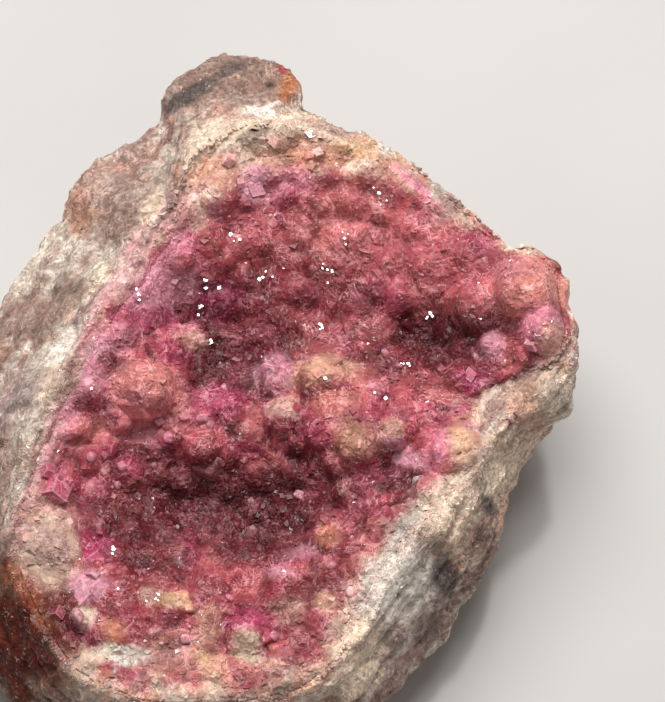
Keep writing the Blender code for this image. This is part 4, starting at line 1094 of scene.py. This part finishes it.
def rock_finish(name, look):
    """Broken crystalline stone: the tint with granular flecks, dull between tiny shining cleavage faces."""
    graph = Graph(name)
    grains = graph.node("SeparateColor", {0: graph.cells(0.34).outputs["Color"]})
    light = graph.mapped(grains.outputs[0], 0.0, 1.0, 0.74, 1.26)
    flecks = graph.mapped(graph.noise(0.16, 3.0, 0.65), 0.3, 0.7, 0.8, 1.2)
    colour = graph.shaded(graph.tint(), graph.math("MULTIPLY", light, flecks))
    lines = graph.math("MAXIMUM", graph.strands(1.6, 0.04), graph.striae(*ROCK_STRIAE))
    lines = graph.math("MULTIPLY", lines, graph.mapped(graph.noise(3.0), 0.38, 0.62, 0.2, 1.0))
    colour = graph.shaded(colour, graph.math("MULTIPLY_ADD", lines, 0.7, 0.88))
    paleness = graph.mapped(graph.channel(graph.tint(), 1), 0.03, 0.25, 0.02, 0.12)
    colour = graph.mixed("MIX", graph.math("MULTIPLY", lines, paleness), colour, ROCK_LINE_COLOUR)
    shine = graph.mapped(grains.outputs[1], 0.7, 0.9)
    roughness = graph.node("MapRange", {0: shine, 3: look.dull_roughness, 4: look.shining_roughness})
    coarse = graph.bump(graph.noise(0.6, 4.0, 0.6), 0.12, 0.7)
    lined = graph.bump(graph.striae(*ROCK_STRIAE), 0.08, 0.6, coarse)
    return graph.with_shader(
        Base_Color=colour,
        Roughness=roughness.outputs[0],
        Normal=graph.bump(grains.outputs[2], 0.04, 0.55, lined),
        IOR=1.55,
        Specular_IOR_Level=0.25,
        **soaking(0.12, 0.5),
    )


def floor_finish(colour):
    """A pale floor, a little uneven in tone."""
    graph = Graph("pale floor")
    shade = graph.mapped(graph.noise(40.0), 0.3, 0.7, 0.97, 1.03)
    return graph.with_shader(Base_Color=graph.shaded((*colour, 1), shade), Roughness=0.8)


class SpecimenRock(bpy.types.PropertyGroup):
    """What the host rock and its pale grains are made from"""

    grain: bpy.props.FloatProperty(
        name="Grain", description="Strength of the stone's fine relief", default=1.0, min=0, max=3,
        subtype="FACTOR",
    )
    brightness: bpy.props.FloatProperty(
        name="Brightness", description="Lightness of the stone's colours", default=0.87, min=0, max=1.1,
        subtype="FACTOR",
    )
    dull_roughness: bpy.props.FloatProperty(
        name="Dull roughness", description="Roughness of the weathered stone", default=0.8, min=0,
        max=1,
    )
    shining_roughness: bpy.props.FloatProperty(
        name="Shining roughness", description="Roughness of fresh cleavage faces", default=0.25, min=0,
        max=1,
    )
    grain_count: bpy.props.IntProperty(
        name="Pale grains", description="Small rhombs set in the stone", default=8000, min=0, max=16000,
    )
    border_count: bpy.props.IntProperty(
        name="Border crystals", description="Rhombs on the stone next to the crust", default=2200,
        min=0, max=8000,
    )
    band_count: bpy.props.IntProperty(
        name="Band crystals", description="Coarse pale rhombs on the crest under the knob", default=160,
        min=0, max=2000,
    )
    least_grain: bpy.props.FloatProperty(
        name="Least grain", description="Edge of the smallest pale grain", default=0.12 * MM,
        unit="LENGTH",
    )
    most_grain: bpy.props.FloatProperty(
        name="Most grain", description="Edge of the largest pale grain", default=0.4 * MM,
        unit="LENGTH",
    )


class SpecimenCrust(bpy.types.PropertyGroup):
    """What the crust and all the crystals' finishes are made from"""

    grain: bpy.props.FloatProperty(
        name="Grain", description="Strength of the crust's fine relief", default=1.0, min=0, max=3,
        subtype="FACTOR",
    )
    strand_colour: bpy.props.FloatVectorProperty(
        name="Strand colour", description="Pale tint of edges and fine strands", subtype="COLOR",
        size=3, min=0, max=1, default=tuple(linear(STRAND_COLOUR)),
    )
    strand_paleness: bpy.props.FloatProperty(
        name="Strand paleness", description="How pale the fine strands are", default=0.46, min=0, max=1,
        subtype="FACTOR",
    )
    # Strength of the painted highlight along the crystals' edges near their tips.
    edge_highlight: bpy.props.FloatProperty(
        name="Edge paleness", description="How pale the crystals' edges are", default=0.12, min=0,
        max=1, subtype="FACTOR",
    )
    facet_tilt: bpy.props.FloatProperty(
        name="Facet tilt", description="How far the tiny facets lean from the surface", default=0.9,
        min=0, max=3,
    )
    facet_share: bpy.props.FloatProperty(
        name="Facet share", description="How much the small crystals' bodies are lit as facets",
        default=0.4, min=0, max=1, subtype="FACTOR",
    )
    skin_weight: bpy.props.FloatProperty(
        name="Skin weight", description="Strength of the clear faces' gloss", default=0.3, min=0, max=1,
        subtype="FACTOR",
    )
    skin_roughness: bpy.props.FloatProperty(
        name="Skin roughness", description="Roughness of the clear faces", default=0.12, min=0, max=1,
    )
    soak_weight: bpy.props.FloatProperty(
        name="Soak weight", description="Share of light that enters the crystal", default=0.55, min=0,
        max=1, subtype="FACTOR",
    )
    soak_depth: bpy.props.FloatProperty(
        name="Soak depth", description="How far light travels inside the crystal", default=0.9 * MM,
        unit="LENGTH",
    )


class SpecimenCrystals(bpy.types.PropertyGroup):
    """How thickly the druse crystals stand, and how they lean"""

    large_pitch: bpy.props.FloatProperty(
        name="Large pitch", description="Spacing of the large druse crystals", default=2.2 * MM,
        unit="LENGTH",
    )
    middle_pitch: bpy.props.FloatProperty(
        name="Middle pitch", description="Spacing of the middling druse crystals", default=0.9 * MM,
        unit="LENGTH",
    )
    small_pitch: bpy.props.FloatProperty(
        name="Small pitch", description="Spacing of the smallest druse crystals", default=0.4 * MM,
        unit="LENGTH",
    )
    lean: bpy.props.FloatProperty(
        name="Lean", description="How far crystals lean from the surface's own direction",
        default=math.radians(38), unit="ROTATION",
    )
    clear_density: bpy.props.FloatProperty(
        name="Clear density", description="How fast light takes up colour in the clear crystals",
        default=90.0, min=0,
    )


class SpecimenStage(bpy.types.PropertyGroup):
    """The floor, the lights and the camera"""

    floor_colour: bpy.props.FloatVectorProperty(
        name="Floor colour", description="Colour of the plain floor", subtype="COLOR", size=3, min=0,
        max=1, default=(0.6, 0.59, 0.58),
    )
    key_power: bpy.props.FloatProperty(
        name="Key power", description="Power of the large soft light", default=4.0, min=0, unit="POWER",
    )
    side_power: bpy.props.FloatProperty(
        name="Side power", description="Power of the small light that makes the glints", default=1.0,
        min=0, unit="POWER",
    )
    sky_strength: bpy.props.FloatProperty(
        name="Sky strength", description="Brightness of the even light from all round", default=0.2,
        min=0,
    )
    view_elevation: bpy.props.FloatProperty(
        name="View elevation", description="Height of the camera above the level",
        default=math.radians(72), unit="ROTATION",
    )
    view_distance: bpy.props.FloatProperty(
        name="View distance", description="Camera to the middle of its view", default=0.6,
        unit="LENGTH",
    )


def finished(piece, node):
    """Makes a piece part of the specimen: it moves with it, and may stand for one of the solids."""
    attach(piece, BODY)
    if node:
        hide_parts(node)


def level_ring(radius, direction, height, *more):
    """Points at a radius in each direction, at the height that a function gives there."""
    ring = polar(radius, direction, 0)
    ring[..., 2] = height(ring[..., 0], ring[..., 1], *more)
    return ring


def seat_middle(lift):
    """The seat's middle point, raised by a lift."""
    return [(0, 0, float(seat_height(np.float64(0), np.float64(0), 0.0)) + lift)]


def fan(ring, middle):
    """Triangles from each pair of neighbours on a ring of point indices to one middle point."""
    return np.stack([ring, np.full(ring.size, middle), np.roll(ring, -1)], -1)


def shaped_rock():
    """The grid of the rock's slope and walls, with its grain along the normals, and its new normals."""
    points, relief = rock_surface(ROCK_AROUND, ROCK_SLOPE_RINGS, ROCK_WALL_RINGS)
    grain = rock_grain(points) * bpy.context.scene.specimen_rock.grain
    fade = smooth_step(0, 0.12, relief) * smooth_step(0.0, 0.6, points[..., 2])
    points = points + grid_normals(points) * (grain * fade)[..., None]
    return points, grid_normals(points)


class SPECIMEN_OT_rock(bpy.types.Operator):
    """Builds the host rock: a fine grid over slope and walls, closed by its seat and its resting face"""

    bl_idname = "specimen.rock"
    bl_label = "Host rock"

    def execute(self, context):
        look = context.scene.specimen_rock
        outside, _ = shaped_rock()
        direction = np.arange(ROCK_AROUND) * 360 / ROCK_AROUND
        shares = np.linspace(0, 1, SEAT_RINGS + 1)[1:, None]
        seat = level_ring(read_ring(LIMIT_RADIUS, direction) * shares, direction, seat_height, shares)
        foot = outside[-1] * (1, 1, 0)
        base = np.stack([foot * (share, share, 1) for share in FOOT_SHARES])
        rings = np.concatenate([seat, outside, base])
        index = np.arange(rings.shape[0] * ROCK_AROUND).reshape(rings.shape[0], ROCK_AROUND)
        points = np.concatenate([rings.reshape(-1, 3), seat_middle(0), [(0, 0, 0)]])
        seat_cap = fan(index[0], index.size)[:, ::-1]
        faces = [ring_faces(index), seat_cap, fan(index[-1], index.size + 1)]
        rock = mesh_piece("fine_host_rock", points, faces, rock_finish("host rock", look), True)
        give_colours(rock, freckled(face_tint(points), points, 71))
        finished(rock, "host_rock")
        return {"FINISHED"}


class SPECIMEN_OT_crust(bpy.types.Operator):
    """Builds the crust that carries the crystals: a fine lumpy sheet whose underside clears the seat"""

    bl_idname = "specimen.crust"
    bl_label = "Crystal crust"

    def execute(self, context):
        look = context.scene.specimen_crust
        x, y = disk_grid(CRUST_CELLS)
        height = crust_height(x, y)
        top = np.stack([x, y, height + look.grain * crust_grain(x, y, height)], -1).reshape(-1, 3)
        rim = rim_order(CRUST_CELLS)
        direction = heading_of(top[rim, 0], top[rim, 1])
        shares = np.array(UNDERSIDE_SHARES)[:, None]
        radius = read_ring(LIMIT_RADIUS, direction) * shares
        under = level_ring(radius, direction, seat_height, shares) + (0, 0, SEAT_GAP)
        rings = np.concatenate([rim[None], len(top) + np.arange(radius.size).reshape(radius.shape)])
        points = np.concatenate([top, under.reshape(-1, 3), seat_middle(SEAT_GAP)])
        index = np.arange((CRUST_CELLS + 1) ** 2).reshape(CRUST_CELLS + 1, CRUST_CELLS + 1)
        grid = np.stack([index[:-1, :-1], index[1:, :-1], index[1:, 1:], index[:-1, 1:]], -1).reshape(-1, 4)
        faces = [grid, ring_faces(rings), fan(rings[-1], len(points) - 1)]
        crust = mesh_piece("fine_crust", points, faces, crust_finish("crystal crust", look), True)
        give_colours(crust, freckled(face_tint(points), points, 73))
        finished(crust, "calcite_crust")
        return {"FINISHED"}


def grow_druse(rng, pitch, edge_range, keep_inside, lean):
    """Middles, turns, edges and normals of druse crystals on an uneven grid, each rooted in the crust.

    They lean a little from the surface, and neighbours share most of their spin, as in one cluster.
    """
    x, y = scattered(rng, pitch, keep_inside)
    normals = normals_of(crust_surface, x, y, WIDE_STEP)
    edges = rng.uniform(*edge_range, x.size) * (1 + 0.3 * noise(np.stack([x, y, x * 0], -1), 4.0, 81))
    places = np.stack([x, y, crust_surface(x, y)], -1)
    tilt = lean * np.abs(rng.normal(0, 0.6, x.size))
    spin = 120 * noise(places, 5.0, 82) + rng.normal(0, 20, x.size)
    turns = face_turns(normals, tilt, rng.uniform(0, 360, x.size), spin)
    stand = rng.uniform(-0.52, -0.08, x.size) * edges
    return places + normals * stand[:, None], turns, edges, normals


def grown_rim(rng, lean):
    """Coarser druse crystals, only where the crust's rim is pale."""
    middles, turns, edges, normals = grow_druse(rng, RIM_PITCH, RIM_EDGES, 1.0, lean)
    x, y = middles[:, 0], middles[:, 1]
    pale = limit_share(x, y) > read_ring(PALE_TABLE, heading_of(x, y)) - 0.03
    return middles[pale], turns[pale], edges[pale], normals[pale]


def druse_colours(rng, places):
    """The crust's colour at each crystal, lighter or darker and a little towards magenta or salmon."""
    tint = face_tint(places)
    tint = blend_to(tint, "magenta", 0.3 * np.clip(rng.normal(-0.4, 0.7, len(places)), 0, 1))
    tint = blend_to(tint, "salmon", 0.2 * np.clip(rng.normal(-0.4, 0.7, len(places)), 0, 1))
    shallow = smooth_step(0.12, 0.35, tint[:, 0])
    tint = blend_to(tint, "white", 0.3 * shallow * np.clip(rng.normal(-1.3, 0.8, len(places)), 0, 1))
    return np.clip(tint * rng.uniform(0.88, 1.12, (len(places), 1)), 0, 1)


class SPECIMEN_OT_druse(bpy.types.Operator):
    """Grows thousands of small rhombs on the crust, in three sizes"""

    bl_idname = "specimen.druse"
    bl_label = "Druse crystals"

    def execute(self, context):
        look, sizes = context.scene.specimen_crust, context.scene.specimen_crystals
        rng = np.random.default_rng(DRUSE_SEED)
        finish = druse_finish("druse crystals", look, look.facet_share)
        lean = math.degrees(sizes.lean)
        # For each size: spacing, range of edges, and share of the crust's limit within which it grows.
        groups = {
            "large_druse": [
                (sizes.large_pitch / MM, LARGE_EDGES, 0.97),
                (sizes.middle_pitch / MM, MIDDLE_EDGES, 1.0),
            ],
            "small_druse": [(sizes.small_pitch / MM, SMALL_EDGES, 1.02)],
        }
        for name, rows in groups.items():
            parts = [grow_druse(rng, *row, lean) for row in rows]
            if name == "large_druse":
                parts.append(grown_rim(rng, lean))
            placing = [np.concatenate(values) for values in zip(*parts)]
            piece = rhomb_piece(name, placing, druse_colours(rng, placing[0]), finish)
            finished(piece, None)
        return {"FINISHED"}


def glinting(rng):
    """Small crystals in little groups, each with one face turned to glint.

    The face looks half way between the camera and the small light.
    """
    spots = np.repeat(np.array(GLINTS).T, GLINT_COUNT, axis=1)
    x, y = spots + rng.normal(0, GLINT_SPREAD, spots.shape)
    edges = rng.uniform(*GLINT_EDGES, x.size)
    normals = normals_of(crust_surface, x, y, WIDE_STEP)
    places = np.stack([x, y, crust_surface(x, y)], -1) + normals * (GLINT_STAND * edges)[:, None]
    stage = bpy.context.scene.specimen_stage
    away = np.array([0, -math.cos(stage.view_elevation), math.sin(stage.view_elevation)])
    to_camera = np.array(VIEW_AIM) + away * stage.view_distance / MM - places
    to_light = np.array(GLINT_PLACE) / MM - places
    halfway = sum(way / np.linalg.norm(way, axis=-1, keepdims=True) for way in (to_camera, to_light))
    halfway /= np.linalg.norm(halfway, axis=-1, keepdims=True)
    flat = np.zeros(x.size)
    face = np.cross(RHOMB[6] - RHOMB[7], RHOMB[5] - RHOMB[7])
    face = face / np.linalg.norm(face) * np.sign(face[2])
    from_face = np.swapaxes(face_turns(np.broadcast_to(face, normals.shape), flat, flat, flat), -1, -2)
    turns = face_turns(halfway, flat, flat, rng.uniform(0, 360, x.size)) @ from_face
    return places, turns, edges, normals


def crystal_rows(rows):
    """Middles, turns and edges of single crystals from x, y, edge, tilt, heading and spin.

    Each is raised until its lowest corner clears the seat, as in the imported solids.
    """
    x, y, edges, tilt, heading, spin = np.array(rows).T
    turns = face_turns(normals_of(face_height, x, y, SHORT_STEP), tilt, heading, spin)
    middles = np.stack([x, y, crust_height(x, y) + 0.05 * edges], -1)
    corners = rhomb_points(middles, turns, edges)
    share = limit_share(corners[..., 0], corners[..., 1])
    ground = seat_height(corners[..., 0], corners[..., 1], share) + SEAT_GAP
    ground = np.where(share > 0.95, face_height(corners[..., 0], corners[..., 1]), ground)
    middles[:, 2] += np.maximum((ground + ROOT_CLEARANCE - corners[..., 2]).max(axis=1), 0)
    return middles, turns, edges


def bevelled(piece, name, width_mm):
    """Rounds a piece's edges."""
    bevel = piece.modifiers.new(name, "BEVEL")
    bevel.width = width_mm * MM
    bevel.segments = BEVEL_SEGMENTS


def named_crystals(kind, finish):
    """The single crystals of one kind from the table, sunk into the crust by a share of their edges."""
    middles, turns, edges = crystal_rows([row[:6] for row in CRYSTALS if row[6] == kind])
    edges = edges * NAMED_SHARE
    middles[:, 2] -= NAMED_SINK[kind] * edges
    name = f"{kind}_crystals"
    if kind == "clear":
        points, faces = rhombs(middles, turns, edges)
        piece = mesh_piece(name, points, [faces], finish, False)
        bevelled(piece, "worn edges", WORN_EDGE)
        return piece
    colours = blend_to(face_tint(middles), kind, np.full(len(middles), NAMED_TINT))
    ground = normals_of(face_height, middles[:, 0], middles[:, 1], WIDE_STEP)
    return rhomb_piece(name, (middles, turns, edges, ground), colours, finish)


def milky_crystals(rng, look):
    """The small single crystals between the named ones, and the pale beads, all with rounded edges."""
    middles, turns, edges = crystal_rows(SMALL_CRYSTALS)
    middles[:, 2] -= MILKY_SINK * edges
    colours = druse_colours(rng, middles + (0, 0, 0.6))
    x, y, bead_edges = np.array(BEADS).T
    beads = np.stack([x, y, crust_surface(x, y) + BEAD_STAND * bead_edges], -1)
    bead_turns = face_turns(normals_of(face_height, x, y, SHORT_STEP), *rng.uniform(0, 90, (3, x.size)))
    bead_colours = blend_to(face_tint(beads), "lilac", np.full(x.size, BEAD_TINT))
    both = [(middles, beads), (turns, bead_turns), (edges, bead_edges)]
    points, faces = rhombs(*[np.concatenate(pair) for pair in both])
    piece = mesh_piece("milky_crystals", points, [faces], crust_finish("milky crystals", look), False)
    give_colours(piece, np.repeat(np.concatenate([colours, bead_colours]), len(RHOMB), axis=0))
    bevelled(piece, "rounded edges", ROUNDED_EDGE)
    return piece


def glinting_crystals(rng, look):
    """The crystals that catch the small light; their white colour is partly painted glint."""
    placing = glinting(rng)
    # White: painted glint, on top of the real reflection of the small light.
    colours = np.broadcast_to(COLOURS["white"], placing[0].shape)
    return rhomb_piece("glinting_crystals", placing, colours, druse_finish("glinting crystals", look, 1.0))


class SPECIMEN_OT_crystals(bpy.types.Operator):
    """Sets the single crystals that stand out of the druse, and those that catch the light"""

    bl_idname = "specimen.crystals"
    bl_label = "Single crystals"

    def execute(self, context):
        look, sizes = context.scene.specimen_crust, context.scene.specimen_crystals
        finishes = {
            "magenta": druse_finish("magenta calcite", look, *NAMED_LOOK),
            "lilac": druse_finish("lilac calcite", look, *NAMED_LOOK),
            "clear": glass_finish("clear calcite", look, sizes.clear_density),
        }
        rng = np.random.default_rng(SCATTER_SEED + 1)
        pieces = [named_crystals(kind, finish) for kind, finish in finishes.items()]
        pieces += [milky_crystals(rng, look), glinting_crystals(rng, look)]
        for piece in pieces:
            finished(piece, None)
        return {"FINISHED"}


class SPECIMEN_OT_grains(bpy.types.Operator):
    """Sets small pale rhombs into the rock's slope and walls, and larger ones along the crust's border"""

    bl_idname = "specimen.grains"
    bl_label = "Pale grains"

    def execute(self, context):
        look = context.scene.specimen_rock
        rng = np.random.default_rng(DRUSE_SEED + 1)
        points, normals = shaped_rock()
        rings = np.arange(points.shape[0])[:, None]
        anywhere = np.where(rings < ROCK_SLOPE_RINGS, 1.0, 0.55) * (points[..., 2] > 0.8)
        anywhere = anywhere * smooth_step(-0.5, 0.5, noise(points, 3.0, 91))
        border = smooth_step(BORDER_RINGS, 0, rings) * smooth_step(-0.2, 0.4, noise(points, 2.0, 92))
        heading = heading_of(points[..., 0], points[..., 1])
        room = read_ring(OUTLINE_RADIUS, heading) - read_ring(LIMIT_RADIUS, heading)
        border = border * smooth_step(0.5, 4.0, room)
        band = smooth_step(2 * BORDER_RINGS, 0, rings) * (np.abs(heading - BAND_HEADING) < BAND_SPREAD)
        finish = druse_finish("pale grains", context.scene.specimen_crust, 1.0)
        sets = {
            "pale_grains": (anywhere, look.grain_count, look.least_grain / MM, look.most_grain / MM),
            "border_crystals": (border, look.border_count, *BORDER_EDGES),
            "band_crystals": (band, look.band_count, *BAND_EDGES),
        }
        for name, (thick, count, least, most) in sets.items():
            chance = (thick + 1e-9).ravel()
            chosen = rng.choice(chance.size, count, replace=False, p=chance / chance.sum())
            middles, out = points.reshape(-1, 3)[chosen], normals.reshape(-1, 3)[chosen]
            edges = rng.uniform(least, most, count)
            out[:, 2] = np.maximum(out[:, 2], -0.9)
            out /= np.linalg.norm(out, axis=-1, keepdims=True)
            turns = face_turns(out, *(rng.uniform(0, most_turn, count) for most_turn in (75, 360, 120)))
            tint = blend_to(face_tint(middles), "white", 0.8 * rng.uniform(0, 0.6, count) ** 2)
            tint = np.clip(tint * rng.uniform(0.75, 1.2, (count, 1)), 0, 1)
            placing = middles - out * (0.5 * edges)[:, None], turns, edges, out
            finished(rhomb_piece(name, placing, tint, finish), None)
        return {"FINISHED"}


def aim(thing, place, target):
    """Puts a light or a camera in its place, looking at the target."""
    thing.location = place
    thing.rotation_euler = (Vector(target) - Vector(place)).to_track_quat("-Z", "Y").to_euler()


def area_light(name, place, target, size, power, colour):
    """A round area light."""
    lamp = bpy.data.lights.new(name, "AREA")
    lamp.shape = "DISK"
    lamp.size = size
    lamp.energy = power
    lamp.color = colour
    made = bpy.data.objects.new(name, lamp)
    bpy.context.scene.collection.objects.link(made)
    aim(made, place, target)


class SPECIMEN_OT_stage(bpy.types.Operator):
    """Sets the pale floor, the soft lights and the camera"""

    bl_idname = "specimen.stage"
    bl_label = "Floor, lights and camera"

    def execute(self, context):
        look, scene = context.scene.specimen_stage, context.scene
        half = FLOOR_HALF
        corners = np.array([(-half, -half, 0), (half, -half, 0), (half, half, 0), (-half, half, 0)]) / MM
        finish = floor_finish(look.floor_colour)
        floor = mesh_piece("floor", corners, [np.array([(0, 1, 2, 3)])], finish, False)
        target = Vector(VIEW_AIM) * MM
        area_light("key light", KEY_PLACE, target, KEY_SIZE, look.key_power, (1.0, 0.98, 0.95))
        area_light("glint light", GLINT_PLACE, target, GLINT_SIZE, look.side_power, (1.0, 1.0, 1.0))
        world = bpy.data.worlds.new("even sky")
        world.use_nodes = True
        sky = world.node_tree.nodes["Background"]
        sky.inputs["Color"].default_value = (1.0, 0.98, 0.96, 1)
        sky.inputs["Strength"].default_value = look.sky_strength
        scene.world = world
        lens = bpy.data.cameras.new("camera")
        lens.lens = VIEW_LENS
        lens.sensor_width = VIEW_SENSOR
        lens.clip_start = VIEW_CLIP_START
        camera = bpy.data.objects.new("camera", lens)
        scene.collection.objects.link(camera)
        away = Vector((0, -math.cos(look.view_elevation), math.sin(look.view_elevation)))
        aim(camera, target + away * look.view_distance, target)
        scene.camera = camera
        scene.view_settings.view_transform = "Standard"
        return {"FINISHED"}


class SPECIMEN_PT_panel(bpy.types.Panel):
    """Lists the operators and the sizes and colours they read"""

    bl_idname = "SPECIMEN_PT_panel"
    bl_label = "Calcite specimen"
    bl_space_type = "VIEW_3D"
    bl_region_type = "UI"
    bl_category = "Specimen"

    def draw(self, context):
        for group, operators in PANEL_ROWS.items():
            box = self.layout.box()
            for operator in operators:
                box.operator(operator.bl_idname)
            look = getattr(context.scene, group)
            for name in type(look).__annotations__:
                box.prop(look, name)


PANEL_ROWS = {
    "specimen_rock": (SPECIMEN_OT_rock, SPECIMEN_OT_grains),
    "specimen_crust": (SPECIMEN_OT_crust,),
    "specimen_crystals": (SPECIMEN_OT_druse, SPECIMEN_OT_crystals),
    "specimen_stage": (SPECIMEN_OT_stage,),
}
GROUPS = {
    "specimen_rock": SpecimenRock,
    "specimen_crust": SpecimenCrust,
    "specimen_crystals": SpecimenCrystals,
    "specimen_stage": SpecimenStage,
}
OPERATORS = [operator for operators in PANEL_ROWS.values() for operator in operators]


def register():
    """Registers the groups, the operators and the panel, and adds the groups to the scene."""
    for made in (*GROUPS.values(), *OPERATORS, SPECIMEN_PT_panel):
        bpy.utils.register_class(made)
    for name, group in GROUPS.items():
        setattr(bpy.types.Scene, name, bpy.props.PointerProperty(type=group))


def unregister():
    """Takes away what register added."""
    for name in GROUPS:
        delattr(bpy.types.Scene, name)
    for made in reversed((*GROUPS.values(), *OPERATORS, SPECIMEN_PT_panel)):
        bpy.utils.unregister_class(made)


def main():
    register()
    for step in ("stage", "rock", "crust", "druse", "crystals", "grains"):
        getattr(bpy.ops.specimen, step)()


if __name__ == "__main__":
    main()
